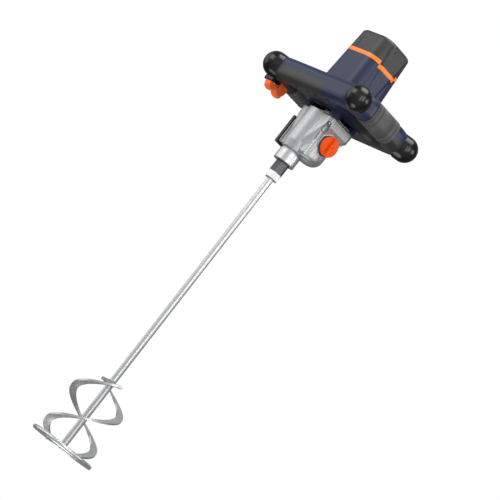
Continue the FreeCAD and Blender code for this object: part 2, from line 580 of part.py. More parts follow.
# The flange's screws stand in its corners, and their heads clear the first gear.
case_screw_y = "(dims.flange_deep / 2 - dims.screw_inset)"
head_clear = f"({first_tip} + dims.screw_head + dims.joint_gap)"
head_side = f"sqrt(max(0; {head_clear} ^ 2 - ({lay_y} - {motor_y} + {case_screw_y}) ^ 2))"
case_screw_x = f"max(dims.flange_wide / 2 - dims.screw_inset; {lay_x} + {head_side})"
corners = [(f"{side} * {case_screw_x}", f"{motor_y} + {end} * {case_screw_y}") for side in (-1, 1)
           for end in (-1, 1)]
screw_seat = f"({flange_z} - dims.screw_flange)"
pockets = [rod_between("pocket", "dims.screw_pocket", case_z, screw_seat, x, y) for x, y in corners]
screw_holes = [rod_between("screw_hole", "dims.screw_radius + dims.seat_play", screw_seat,
                           f"{flange_z} + dims.screw_reach + 1", x, y) for x, y in corners]
node(cut("gearbox_case", case_blank, bearing_seat, sleeve_hole, spindle_cavity, lay_cavity, motor_cavity,
         lay_seat_hole, selector_hole, *pockets, *screw_holes), "gearbox_case")
case_screws = [
    fuse("case_screw", rod_between("head", "dims.screw_head", f"{screw_seat} - dims.screw_head_height",
                                   screw_seat, x, y),
         rod_between("shank", "dims.screw_radius", screw_seat, f"{flange_z} + dims.screw_reach", x, y))
    for x, y in corners]
node(group("gearbox_screws", *case_screws), "gearbox_screws")

lip_top = f"({neck_z} + dims.collar_lip)"
collar_ring = tube("collar_ring", collar_radius, "dims.neck_radius + dims.seat_play", lip_top, groove_z)
collar_lip = tube("collar_lip", collar_radius, "dims.shoulder_radius + dims.joint_gap", neck_z, lip_top)
node(fuse("neck_collar", collar_ring, collar_lip), "neck_collar")
bearing("spindle_bearing", "dims.journal_radius", "dims.neck_bearing_outer", "dims.neck_bearing_width", "0",
        "0",
        seal_top)
node(tube("spindle_seal", "dims.neck_bearing_outer", "dims.shoulder_radius + dims.running_play",
          lip_top, seal_top), "spindle_seal")

cover_face = f"({side_boss_x} + dims.cover_thick)"
cover_low_z = f"({case_z} + dims.cover_low)"
cover_high_z = f"({case_z} + dims.cover_high)"
cover_plate = block("cover_plate", (f"-{cover_face}", f"-{side_boss_x}"),
                    span(side_boss_y, "dims.cover_deep / 2"),
                    (cover_low_z, cover_high_z))
rib_pitch = f"(({cover_high_z} - {cover_low_z}) / dims.cover_ribs)"
cover_ribs = [
    block("cover_rib", (f"-{cover_face} - dims.cover_rib", f"-{cover_face} + 1"),
          span(side_boss_y, "dims.cover_deep / 2 - dims.cover_rib"),
          (f"{cover_low_z} + {rib_pitch} * {k + 0.25}", f"{cover_low_z} + {rib_pitch} * {k + 0.75}"))
    for k in range(count("cover_ribs"))]
node(fuse("side_cover", cover_plate, *cover_ribs), "side_cover")

# Bearing plate between the gears and the motor, inside the housing's skirt.
plate_top = f"({flange_z} + dims.plate_height)"
boss_low = f"({flange_z} - dims.plate_boss_drop)"
boss_high = f"({flange_z} + dims.plate_boss_rise)"
skirt_inner_wide = "(dims.flange_wide - 2 * dims.skirt_wall)"
skirt_inner_deep = "(dims.flange_deep - 2 * dims.skirt_wall)"
skirt_inner_corner = "(dims.flange_corner - dims.skirt_wall)"
bearing_sheet = plate("bearing_sheet", f"{skirt_inner_wide} - 2 * dims.joint_gap",
                      f"{skirt_inner_deep} - 2 * dims.joint_gap", skirt_inner_corner, flange_z, plate_top)
plate_bosses = [
    rod_between("spindle_boss", "dims.top_journal + 2 * dims.bush_wall", boss_low, flange_z),
    rod_between("lay_top_boss", "dims.layshaft_head + 2 * dims.bush_wall", boss_low, flange_z, lay_x, lay_y),
    rod_between("motor_boss", "dims.motor_bearing_outer + dims.case_wall", flange_z, boss_high, "0", motor_y),
]
motor_bearing_z = f"({flange_z} + 1)"
motor_bearing_top = f"({motor_bearing_z} + dims.motor_bearing_width)"
boss_outer = "(dims.screw_radius + dims.case_wall)"
plate_holes = [
    rod_between("spindle_bush_hole", "dims.top_journal + dims.running_play", boss_low, bush_top),
    rod_between("lay_bush_hole", "dims.layshaft_head + dims.running_play", boss_low, bush_top, lay_x, lay_y),
    rod_between("motor_bearing_hole", "dims.motor_bearing_outer + dims.seat_play", motor_bearing_z,
                boss_high, "0",
                motor_y),
    rod_between("pinion_way", "dims.pinion_hole", boss_low, motor_bearing_z, "0", motor_y),
]
plate_notches = [rod_between("notch", f"{boss_outer} + dims.joint_gap", flange_z, plate_top, x, y)
                 for x, y in corners]
node(cut("bearing_plate", fuse("plate_blank", bearing_sheet, *plate_bosses), *plate_holes, *plate_notches),
     "bearing_plate")
bearing("motor_bearing", "dims.rotor_foot", "dims.motor_bearing_outer", "dims.motor_bearing_width", "0",
        motor_y, motor_bearing_z)

# Motor housing, orange band and rear cap: one tapered form with brush lobes on both sides, split by
# level steps.
lobe_low = f"({flange_z} + dims.lobe_start)"
lobe_top = f"({top_z} - dims.lobe_drop)"
housing_rise = f"({top_z} - {skirt_z})"


def half_at(level):
    fall = "(dims.housing_low_half - dims.housing_top_half)"
    return f"(dims.housing_low_half - {fall} * (({level}) - {skirt_z}) / {housing_rise})"


def deep_at(level):
    return f"({half_at(level)} - dims.housing_slim)"


def lobe_at(low_size, high_size, level):
    return f"({low_size} + ({high_size} - {low_size}) * (({level}) - {lobe_low}) / ({lobe_top} - {lobe_low}))"


def lobe_deep_at(level):
    return f"({lobe_at('dims.lobe_deep_low', 'dims.lobe_deep_high', level)} / 2)"


def frustum(name, low, high, half_low, half_high, deep, corner):
    """An upright block that narrows upwards, with round corners; deep holds its half depths."""
    sharp = doc.addObject("Part::Wedge", f"{name}_sharp")
    limits = (("Xmax", half_low), ("X2max", half_high), ("Zmax", deep[0]), ("Z2max", deep[1]))
    for prop, expression in limits:
        sharp.setExpression(prop, expression)
        sharp.setExpression(prop.replace("max", "min"), f"-({expression})")
    sharp.Ymin = 0
    sharp.setExpression("Ymax", f"({high}) - ({low})")
    sharp.Placement = FreeCAD.Placement(V(), FreeCAD.Rotation(V(1, 0, 0), 90))
    place(sharp, "0", motor_y, low)
    return rounded(name, sharp, corner, lambda edge: abs(edge.tangentAt(edge.FirstParameter).z) > 0.9)


def housing_form(name, wall, low, high):
    halves = [f"({half_at(level)} - {wall})" for level in (low, high)]
    deep = [f"({deep_at(level)} - {wall})" for level in (low, high)]
    return frustum(name, low, high, *halves, deep, f"dims.housing_corner - {wall}")


def lobe_form(name, wall, low, high):
    proud = [lobe_at("dims.lobe_proud_low", "dims.lobe_proud_high", level) for level in (low, high)]
    halves = [f"({half_at(level)} + {out} - {wall})" for level, out in zip((low, high), proud)]
    deep = [f"({lobe_deep_at(level)} - {wall})" for level in (low, high)]
    return frustum(name, low, high, *halves, deep, f"dims.lobe_corner - {wall}")


outer_body = rounded("outer_body", housing_form("outer_plain", "0", skirt_z, top_z), "dims.cap_round",
                     at_height(top_z))
outer_lobes = rounded("outer_lobes", lobe_form("lobes_plain", "0", lobe_low, lobe_top), "dims.lobe_round",
                      at_height(lobe_top, lobe_low))
outer_form = fuse("outer_form", outer_body, outer_lobes)
wall = "dims.housing_wall"
cavity_body = housing_form("cavity_body", wall, f"{skirt_z} + dims.housing_floor", f"{top_z} - {wall}")
cavity_lobes = lobe_form("cavity_lobes", wall, f"{lobe_low} + {wall}", f"{lobe_top} - {wall}")
cavity = fuse("cavity", cavity_body, cavity_lobes)

reach = "(dims.housing_low_half * 1.5)"
all_x = span("0", reach)
all_y = span(motor_y, reach)
strip_y = span(motor_y, f"{lobe_deep_at(cap_z)} + 0.05")
strip_band = f"({band_z} - dims.band_step)"
strip_cap = f"({cap_z} - dims.band_step)"
below_all = block("below_all", all_x, all_y, (flange_z, band_z))
below = cut("below", below_all, block("below_strip", all_x, strip_y, (strip_band, band_z)))
between_all = fuse("between_all", block("between_body", all_x, all_y, (band_z, cap_z)),
                   block("between_strip", all_x, strip_y, (strip_band, band_z)))
between = cut("between", between_all, block("between_top", all_x, strip_y, (strip_cap, cap_z)))
above = fuse("above", block("above_body", all_x, all_y, (cap_z, f"{top_z} + 1")),
             block("above_strip", all_x, strip_y, (strip_cap, cap_z)))

skirt = plate("skirt", "dims.flange_wide", "dims.flange_deep", "dims.flange_corner", flange_z,
              f"{skirt_z} + 1")
skirt_inside = plate("skirt_inside", skirt_inner_wide, skirt_inner_deep, skirt_inner_corner, flange_z,
                     f"{skirt_z} + dims.housing_floor")
vent_z = (f"{flange_z} + dims.vent_low", f"{flange_z} + dims.vent_high")
vents = [
    block("front_vent", span("0", f"{case_screw_x} - dims.case_wall * 2"), all_y, vent_z),
    block("side_vent", all_x, span(motor_y, f"{case_screw_y} - dims.case_wall * 2"), vent_z),
]
housing_shell = cut("housing_shell", fuse("housing_blank", common("housing_part", outer_form, below), skirt),
                    cavity, skirt_inside, *vents)
skirt_bosses = [rod_between("skirt_boss", boss_outer, flange_z, f"{skirt_z} + 1", x, y) for x, y in corners]
cap_corners = [(f"{side} * dims.cap_screw_x", f"{motor_y} + {end} * dims.cap_screw_y", end)
               for side in (-1, 1)
               for end in (-1, 1)]
boss_start = f"({band_z} - dims.cap_boss_height)"
wall_bosses = []
for x, y, end in cap_corners:
    boss_rod = rod_between("boss_rod", "dims.cap_boss", boss_start, band_z, x, y)
    web_ys = sorted((y, f"{motor_y} + {end} * dims.housing_low_half"), key=number)
    web = block("boss_web", span(x, "dims.cap_boss"), web_ys, (boss_start, band_z))
    wall_bosses.append(common("wall_boss", fuse("webbed_boss", boss_rod, web), outer_form))
cap_screw_low = f"({band_z} - dims.pilot_depth)"
cap_head_z = f"({top_z} - dims.cap_round)"
cap_holes = [rod_between("cap_hole", "dims.small_screw + dims.seat_play", cap_screw_low, f"{top_z} + 1", x, y)
             for x, y, end in cap_corners]
node(cut("motor_housing", fuse("housing_bossed", housing_shell, *skirt_bosses, *wall_bosses), *screw_holes,
         *cap_holes), "motor_housing")
node(cut("orange_band", common("band_part", outer_form, between), cavity), "orange_band")

bracket_top = f"({band_z} + dims.bracket_height)"
cap_posts = [rod_between("cap_post", "dims.cap_boss", bracket_top, top_z, x, y) for x, y, end in cap_corners]
cap_recesses = [rod_between("cap_recess", "dims.small_head + dims.joint_gap", cap_head_z, f"{top_z} + 1", x,
                            y)
                for x, y, end in cap_corners]
slot_mid = "((dims.intake_slots - 1) / 2)"
intakes = [
    block("intake", span(f"dims.intake_pitch * ({k} - {slot_mid})", "dims.intake_wide / 2"),
          span(motor_y, "dims.intake_long / 2"), (f"{top_z} - dims.housing_wall - 1", f"{top_z} + 1"))
    for k in range(count("intake_slots"))]
cap_shell = cut("cap_shell", common("cap_part", outer_form, above), cavity, *intakes)
cap_post_parts = [common("cap_post_part", post, outer_form) for post in cap_posts]
node(cut("rear_cap", fuse("cap_bossed", cap_shell, *cap_post_parts), *cap_recesses, *cap_holes), "rear_cap")
cap_screws = [
    fuse("cap_screw_one",
         rod_between("cap_head", "dims.small_head", cap_head_z, f"{cap_head_z} + dims.small_head_height", x,
                     y),
         rod_between("cap_shank", "dims.small_screw", cap_screw_low, cap_head_z, x, y))
    for x, y, end in cap_corners]
node(group("cap_screws", *cap_screws), "cap_screws")

# Bracket under the cap with the upper bearing.
bracket_sheet = plate("bracket_sheet", f"2 * ({half_at(bracket_top)} - {wall} - dims.joint_gap)",
                      f"2 * ({deep_at(bracket_top)} - {wall} - dims.joint_gap)",
                      f"dims.housing_corner - {wall}", band_z, bracket_top)
cup_top = f"({band_z} + dims.bracket_cup_height)"
bracket_cup = rod_between("bracket_cup", "dims.bracket_cup", band_z, cup_top, "0", motor_y)
top_bearing_z = f"({cup_top} - dims.top_bearing_width - 1)"
top_bearing_high = f"({top_bearing_z} + dims.top_bearing_width)"
bracket_bores = [
    rod_between("top_bearing_hole", "dims.top_bearing_outer + dims.seat_play", top_bearing_z, cup_top, "0",
                motor_y),
    rod_between("rotor_way", "dims.rotor_shaft + dims.wall_gap", band_z, top_bearing_z, "0", motor_y),
]
air_holes = [
    rod_between("air_hole", "dims.bracket_hole", band_z, bracket_top, x, y)
    for x, y in (("0", f"{motor_y} + dims.bracket_hole_at"), ("0", f"{motor_y} - dims.bracket_hole_at"))]
node(cut("bearing_bracket", cut("bracket_open", fuse("bracket_blank", bracket_sheet, bracket_cup),
                                *bracket_bores,
                                *cap_holes), *air_holes), "bearing_bracket")
bearing("top_motor_bearing", "dims.rotor_head", "dims.top_bearing_outer", "dims.top_bearing_width", "0",
        motor_y, top_bearing_z)

# Armature: shaft with its pinion, fan, laminated core, windings and commutator.
rotor_low = f"({skirt_z} + dims.housing_floor)"
fan_z = f"({rotor_low} + dims.fan_gap)"
fan_top = f"({fan_z} + dims.fan_height)"
winding_z = f"({fan_top} + dims.fan_gap)"
core_z = f"({winding_z} + dims.winding_end)"
core_top = f"({core_z} + dims.core_height)"
winding_top = f"({core_top} + dims.winding_end)"
commutator_z = f"({band_z} - dims.commutator_drop)"
commutator_top = f"({commutator_z} + dims.commutator_height)"
pinion_low = f"({first_gear_z} - dims.wall_gap * 2)"
pinion_high = f"({first_gear_top} + dims.wall_gap * 2)"
pinion_long = number(f"{pinion_high} - {pinion_low}")
pinion_teeth = count("first_pinion_teeth")
pinion_angle = mesh_angle + 180 + 180 / pinion_teeth
pinion = solid("pinion", gear_blank(pinion_teeth, first_module, number("dims.pinion_addendum"), pinion_long),
               "0", motor_y, pinion_low, pinion_angle)
rotor_parts = [
    pinion, rod_between("rotor_foot", "dims.rotor_foot", pinion_high, fan_z, "0", motor_y),
    rod_between("rotor_middle", "dims.rotor_shaft", fan_z, f"{top_bearing_z} - dims.wall_gap", "0", motor_y),
    rod_between("rotor_head", "dims.rotor_head", f"{top_bearing_z} - dims.wall_gap", top_bearing_high, "0",
                motor_y),
]
node(fuse("armature_shaft", *rotor_parts), "armature_shaft")
shaft_bore = "dims.rotor_shaft + dims.seat_play"
core_ring = tube("core_ring", "dims.core_radius", shaft_bore, core_z, core_top, "0", motor_y)


def spokes(name, total, wide, near, far, low, high):
    """Upright flat boxes spread evenly round the motor axis."""
    arms = []
    for k in range(total):
        turn = 360 * k / total
        arm = block(f"{name}_{k}", (near, far), span("0", f"{wide} / 2"), (low, high))
        arm.Placement.Rotation = FreeCAD.Rotation(V(0, 0, 1), turn)
        place(arm, f"{near} * cos({turn}) + {wide} / 2 * sin({turn})",
              f"{motor_y} + {near} * sin({turn}) - {wide} / 2 * cos({turn})", low)
        arms.append(arm)
    return arms


core_slots = spokes("core_slot", count("core_slots"), "dims.core_slot_wide",
                    "(dims.core_radius - dims.core_slot_deep)", "(dims.core_radius + 1)", core_z, core_top)
node(cut("armature_core", core_ring, *core_slots), "armature_core")
node(group("armature_windings",
           tube("winding_low", "dims.winding_radius", shaft_bore, winding_z, core_z, "0", motor_y),
           tube("winding_high", "dims.winding_radius", shaft_bore, core_top, winding_top, "0", motor_y)),
     "armature_windings")
node(tube("commutator", "dims.commutator_radius", shaft_bore, commutator_z, commutator_top, "0", motor_y),
     "commutator")
fan_blades = spokes("fan_blade", count("fan_blades"), "dims.fan_blade_thick", "(dims.fan_hub - 1)",
                    "(dims.fan_radius - 1)", fan_z, f"{fan_top} - dims.fan_plate / 2")
fan_disc = rod_between("fan_disc", "dims.fan_radius", f"{fan_top} - dims.fan_plate", fan_top, "0", motor_y)
fan_hub = rod_between("fan_hub", "dims.fan_hub", fan_z, fan_top, "0", motor_y)
fan_bore = rod_between("fan_bore", shaft_bore, fan_z, fan_top, "0", motor_y)
node(cut("cooling_fan", fuse("fan_blank", fan_disc, fan_hub, *fan_blades), fan_bore), "cooling_fan")

# Stator, field coils, brushes.
stator_block = plate("stator_block", f"2 * ({half_at(core_top)} - {wall} - dims.joint_gap)",
                     f"2 * ({deep_at(core_top)} - {wall} - dims.joint_gap)", "dims.stator_corner", core_z,
                     core_top)
stator_bore = rod_between("stator_bore", "dims.core_radius + dims.air_gap", core_z, core_top, "0", motor_y)
coil_low = f"({core_z} - dims.coil_end)"
coil_high = f"({core_top} + dims.coil_end)"
coils = []
for name, sign in (("front", -1), ("rear", 1)):
    ys = sorted((f"{motor_y} + {sign} * dims.coil_near", f"{motor_y} + {sign} * dims.coil_far"), key=number)
    whole = block(f"{name}_coil", span("0", "dims.coil_outer"), ys, (coil_low, coil_high))
    pole = block(f"{name}_pole", span("0", "dims.coil_inner"), ys, (core_z, core_top))
    winding = cut(f"{name}_winding", whole, pole)
    coils.append(winding)
node(cut("stator_core", stator_block, stator_bore, *coils), "stator_core")
node(group("field_coils", *coils), "field_coils")

brush_z = f"({commutator_z} + dims.commutator_height / 2)"
brush_front = "(dims.commutator_radius + dims.joint_gap)"
holder_front = f"({brush_front} + 2)"
brushes, holders, springs = [], [], []
brush_back = f"({brush_front} + dims.brush_long)"
holder_inner_end = "(dims.holder_end - dims.holder_wall)"
spring_long = number(f"{holder_inner_end} - {brush_back}")
for sign in (-1, 1):
    def along(near, far):
        return sorted((f"{sign} * {near}", f"{sign} * {far}"), key=number)

    ys = span(motor_y, "dims.brush_wide / 2")
    zs = span(brush_z, "dims.brush_tall / 2")
    slide_ys = span(motor_y, "dims.brush_wide / 2 + dims.running_play")
    slide_zs = span(brush_z, "dims.brush_tall / 2 + dims.running_play")
    outer_ys = span(motor_y, "dims.brush_wide / 2 + dims.holder_wall")
    holder_zs = (f"{brush_z} - dims.brush_tall / 2 - dims.holder_wall", band_z)
    brushes.append(block("brush", along(brush_front, brush_back), ys, zs))
    holders.append(cut("holder", block("holder_block", along(holder_front, "dims.holder_end"), outer_ys,
                                       holder_zs),
                       block("brush_way", along(f"({holder_front} - 1)", holder_inner_end), slide_ys,
                             slide_zs)))
    spring = coil(number("dims.brush_wide / 2 - dims.spring_wire * 2"), number("dims.spring_wire"),
                  count("brush_spring_turns"), spring_long)
    lying = solid("brush_spring", spring)
    lying.Placement = FreeCAD.Placement(
        V(sign * number(f"{brush_back} + dims.spring_wire"), number(motor_y), number(brush_z)),
        FreeCAD.Rotation(V(0, 1, 0), 90 * sign))
    springs.append(lying)
node(group("carbon_brushes", *brushes), "carbon_brushes")
node(group("brush_holders", *holders), "brush_holders")
node(group("brush_springs", *springs), "brush_springs")

# Handle frame: a flat ring with a window on each side of the motor, in an upper shell and two lower shells.
frame_low = f"({frame_z} - dims.frame_half_height)"
frame_high = f"({frame_z} + dims.frame_half_height)"


window_start = f"({half_at(frame_low)} + dims.window_gap)"
window_wide = f"(dims.grip_x - dims.grip_half - {window_start})"


def frame_form(name, inset):
    """The frame's whole form, or its hollow when it is drawn in by a wall."""
    low, high = f"{frame_low} + {inset}", f"{frame_high} - {inset}"
    outline = plate(f"{name}_outline", f"2 * (dims.grip_x + dims.grip_half - {inset})",
                    f"2 * (dims.arm_y + dims.arm_half - {inset})", f"dims.frame_corner - {inset}", low, high)
    window_mid = f"((dims.grip_x - dims.grip_half + {window_start}) / 2)"
    windows = [plate(f"{name}_window", f"{window_wide} + 2 * {inset}",
                     f"2 * (dims.arm_y - dims.arm_half + {inset})",
                     f"{window_wide} * dims.window_round + {inset}", low, high, x=f"{sign} * {window_mid}")
               for sign in (-1, 1)]
    sharp = cut(f"{name}_sharp", outline, *windows)
    return rounded(name, sharp, f"dims.frame_round - {inset}", at_height(low, high))


frame_solid = frame_form("frame_solid", "0")
frame_hollow = frame_form("frame_hollow", "dims.shell_wall")
bumper_z = f"({frame_z} - dims.bumper_drop)"
bumper_x = "(dims.grip_x + dims.bumper_out_x)"
bumper_y = "(dims.arm_y + dims.bumper_out_y)"
far_x = "(dims.grip_x + dims.grip_half * 2)"
far_y = "(dims.arm_y + dims.arm_half * 2)"
ends = (("front_left", -1, -1), ("front_right", 1, -1), ("rear_left", -1, 1), ("rear_right", 1, 1))
corner_rooms, bumper_screws = [], []
for name, sx, sy in ends:
    middle_x, middle_y = f"{sx} * {bumper_x}", f"{motor_y} + {sy} * {bumper_y}"
    dome = ball(f"{name}_dome", "dims.bumper_radius", middle_x, middle_y, bumper_z)
    # the neck of the bumper sits in the corner of the frame, at the slant between arm and grip
    neck = rod(f"{name}_neck", "dims.bumper_radius", "dims.bumper_neck", middle_x, middle_y, bumper_z)
    neck.Placement.Rotation = FreeCAD.Rotation(V(0, 0, 1), V(-sx, -sy, 0))
    form = fuse(f"{name}_form", dome, neck)
    corner_rooms.append(form)
    head_low = f"({bumper_z} - dims.bumper_radius + dims.small_recess)"
    head_high = f"({head_low} + dims.small_head_height)"
    screw = fuse(f"{name}_screw", rod_between("head", "dims.small_head", head_low, head_high, middle_x,
                                              middle_y),
                 rod_between("shank", "dims.small_screw", head_high, bumper_z, middle_x, middle_y))
    bumper_screws.append(screw)
    recess = rod_between("recess", "dims.small_head", f"{bumper_z} - dims.bumper_radius - 1", head_high,
                         middle_x, middle_y)
    pilot = rod_between("pilot", "dims.small_screw", head_high, bumper_z, middle_x, middle_y)
    node(cut(f"bumper_{name}", form, recess, pilot), f"bumper_{name}")
node(group("bumper_screws", *bumper_screws), "bumper_screws")

half_room = f"({frame_high} + 1)"
upper_room = block("upper_room", span("0", far_x), span(motor_y, far_y), (frame_z, half_room))
lower_zs = (f"{frame_low} - 1", frame_z)
lower_room = block("lower_room", span("0", far_x), span(motor_y, far_y), lower_zs)
right_room = block("right_room", ("dims.split_x", far_x), (f"{motor_y} - {far_y}", motor_y), lower_zs)
shell_floor = f"({frame_low} + dims.shell_wall)"
shell_roof = f"({frame_high} - dims.shell_wall)"
seats = [(f"{sx} * {x}", f"{motor_y} + {sy} * dims.arm_y") for sx in (-1, 1) for sy in (-1, 1)
         for x in ("dims.handle_screw_near", "dims.handle_screw_far")]
head_low = f"({frame_low} + dims.small_recess)"
head_high = f"({head_low} + dims.small_head_height)"
screw_top = f"({frame_z} + dims.pilot_depth)"
posts = [rod_between("post", "dims.post_radius", f"{shell_floor} - 1", f"{shell_roof} + 1", x, y)
         for x, y in seats]
shank_holes = [rod_between("shank_hole", "dims.small_screw + dims.seat_play", frame_low, screw_top, x, y)
               for x, y in seats]
head_holes = [rod_between("head_hole", "dims.small_head + dims.joint_gap", f"{frame_low} - 1", head_high, x,
                          y)
              for x, y in seats]
handle_screws = [
    fuse("handle_screw", rod_between("head", "dims.small_head", head_low, head_high, x, y),
         rod_between("shank", "dims.small_screw", head_high, screw_top, x, y)) for x, y in seats]
node(group("handle_screws", *handle_screws), "handle_screws")

grip_x = "-dims.grip_x"
trigger_y = f"({motor_y} - dims.arm_y + dims.trigger_back)"
trigger_half_long = "(dims.trigger_long / 2)"
trigger_end = f"({trigger_y} + {trigger_half_long})"
stem_start = f"({motor_y} - {bumper_y} + dims.bumper_radius + dims.trigger_flange + 2 * dims.joint_gap)"
stem_middle = f"(({stem_start} + {trigger_end}) / 2)"
trigger_way = block("trigger_way", span(grip_x, "dims.trigger_half + dims.joint_gap"),
                    (f"{stem_start} - dims.joint_gap", f"{trigger_end} + dims.joint_gap"),
                    (f"{frame_low} - 1", f"{shell_floor} + dims.trigger_seat"))
lock_y = f"({motor_y} + dims.lock_y)"
lock_z = f"({frame_z} - dims.lock_drop)"
grip_inner = f"({grip_x} + dims.grip_half)"
lock_way = rod("lock_way", "dims.lock_radius + dims.joint_gap", "dims.shell_wall * 3",
               f"{grip_inner} - dims.shell_wall * 2", lock_y, lock_z, "x")
gland_back = f"({motor_y} + dims.arm_y + dims.arm_half)"
gland_front = f"({gland_back} - dims.shell_wall)"
gland_way = rod("gland_way", "dims.gland_radius + dims.seat_play", "dims.shell_wall * 2", "dims.gland_x",
                f"{gland_front} - 1", frame_z, "y")
hollow_shell = cut("hollow_shell", frame_solid, frame_hollow)
frame_shell = cut("frame_shell", fuse("posted_shell", hollow_shell, *posts), outer_body, trigger_way,
                  lock_way, gland_way, *shank_holes, *head_holes, *corner_rooms)
node(common("handle_upper_shell", frame_shell, upper_room), "handle_upper_shell")
node(common("handle_lower_shell", frame_shell, right_room), "handle_lower_shell")
node(cut("trigger_handle_shell", common("lower_shells", frame_shell, lower_room), right_room),
     "trigger_handle_shell")


def grip_sleeve(label, x, low_y, high_y):
    outer = "dims.sleeve_thick"
    sharp = block(f"{label}_sharp", span(x, f"dims.grip_half + {outer}"), (low_y, high_y),
                  (f"{frame_low} - {outer}", f"{frame_high} + {outer}"))
    form = rounded(f"{label}_form", sharp, f"dims.frame_round + {outer}",
                   lambda edge: abs(edge.tangentAt(edge.FirstParameter).y) > 0.99)
    return node(cut(label, form, frame_solid), label)


grip_sleeve("right_grip_sleeve", "dims.grip_x", f"{motor_y} + dims.sleeve_start",
            f"{motor_y} + dims.sleeve_end")
grip_sleeve("left_grip_sleeve", grip_x, f"{motor_y} + dims.left_sleeve_start", f"{motor_y} + dims.sleeve_end")

# Trigger, its spring, the switch it works, the lock button and the cable gland.
flange_rest = f"({shell_floor} + dims.trigger_seat)"
flange_high = f"({flange_rest} + dims.trigger_flange_height)"
lobe_z = f"({frame_low} - dims.trigger_drop)"
lobes = [
    rod("trigger_lobe", "dims.trigger_lobe", "2 * dims.trigger_half", f"{grip_x} - dims.trigger_half",
        f"{trigger_y} + {sign} * ({trigger_half_long} - dims.trigger_lobe)", lobe_z, "x") for sign in (-1, 1)]
trigger_stem = block("trigger_stem", span(grip_x, "dims.trigger_half"), (stem_start, trigger_end),
                     (lobe_z, flange_high))
trigger_rim = block("trigger_rim", span(grip_x, "dims.trigger_half + dims.trigger_flange"),
                    (f"{stem_start} - dims.trigger_flange", f"{trigger_end} + dims.trigger_flange"),
                    (flange_rest, flange_high))
trigger_pocket = rod_between("trigger_pocket", "dims.trigger_pocket",
                             f"{flange_high} - dims.trigger_pocket_deep",
                             flange_high, grip_x, stem_middle)
trigger_start = f"({trigger_y} - {trigger_half_long})"
# the front lobe passes under the bumper, so it is low enough to leave room for the whole travel
lobe_relief = block("lobe_relief", span(grip_x, "dims.trigger_half + 1"),
                    (f"{trigger_start} - 1", stem_start),
                    (f"{bumper_z} - dims.bumper_radius - dims.trigger_travel - dims.joint_gap", flange_high))
stem_relief = block("stem_relief", span(grip_x, "dims.trigger_half + 1"), (trigger_start, trigger_end),
                    (flange_high, f"{flange_high} + dims.trigger_lobe"))
trigger_form = cut("trigger_form", fuse("trigger_lobed", trigger_stem, *lobes), lobe_relief, stem_relief)
node(cut("trigger", fuse("trigger_blank", trigger_form, trigger_rim), trigger_pocket), "trigger")
switch_low = f"({flange_high} + dims.trigger_travel + 1)"
switch_body = block("switch_body", span(grip_x, "dims.switch_half"),
                    (stem_start, f"{trigger_end} - dims.trigger_flange"),
                    (switch_low, f"{shell_roof} - 2 * dims.joint_gap"))
node(switch_body, "switch_body")
spring_low = f"({flange_high} - dims.trigger_pocket_deep)"
spring_rise = number(f"{switch_low} - {spring_low}")
node(solid("trigger_spring", coil(number("dims.trigger_spring_radius"), number("dims.spring_wire"),
                                  count("trigger_spring_turns"), spring_rise), grip_x, stem_middle,
           f"{spring_low} + dims.spring_wire"), "trigger_spring")
lock_end = f"({grip_inner} + dims.lock_proud - dims.lock_long)"
lock_rim_x = f"({grip_inner} - dims.shell_wall - dims.lock_seat - dims.lock_flange_thick)"
lock_stem = rod("lock_stem", "dims.lock_radius", "dims.lock_long", lock_end, lock_y, lock_z, "x")
lock_rim = rod("lock_rim", "dims.lock_radius + dims.lock_flange", "dims.lock_flange_thick", lock_rim_x,
               lock_y, lock_z,
               "x")
node(fuse("lock_button", lock_stem, lock_rim), "lock_button")
gland_tube = rod("gland_tube", "dims.gland_radius", "dims.shell_wall + dims.gland_nose", "dims.gland_x",
                 gland_front, frame_z, "y")
gland_rim = rod("gland_rim", "dims.gland_flange", "dims.gland_flange_thick", "dims.gland_x", gland_back,
                frame_z, "y")
gland_bore = rod("gland_bore", "dims.gland_bore", "dims.shell_wall + dims.gland_nose", "dims.gland_x",
                 gland_front, frame_z, "y")
node(cut("cable_gland", fuse("gland_blank", gland_tube, gland_rim), gland_bore), "cable_gland")

doc.recompute()
failed = [thing.Name for thing in doc.Objects if {"Invalid", "Error"} & set(thing.State)]
if failed:
    raise RuntimeError(f"failed objects: {failed}")
os.makedirs("parts", exist_ok=True)
for thing in nodes:
    shape = thing.Shape
    if shape.isNull() or not shape.isValid() or not shape.Solids:
        raise RuntimeError(f"{thing.Label} has no sound solid")
    print(f"{thing.Label}: {len(shape.Solids)} solid(s), {shape.Volume / 1000:.2f} cm3")
for thing in nodes:
    thing.Shape.exportStep(f"parts/{thing.Label}.step")
print(len(nodes), "nodes")
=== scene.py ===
import json
import math
import bmesh
import bpy
from mathutils import Matrix, Vector


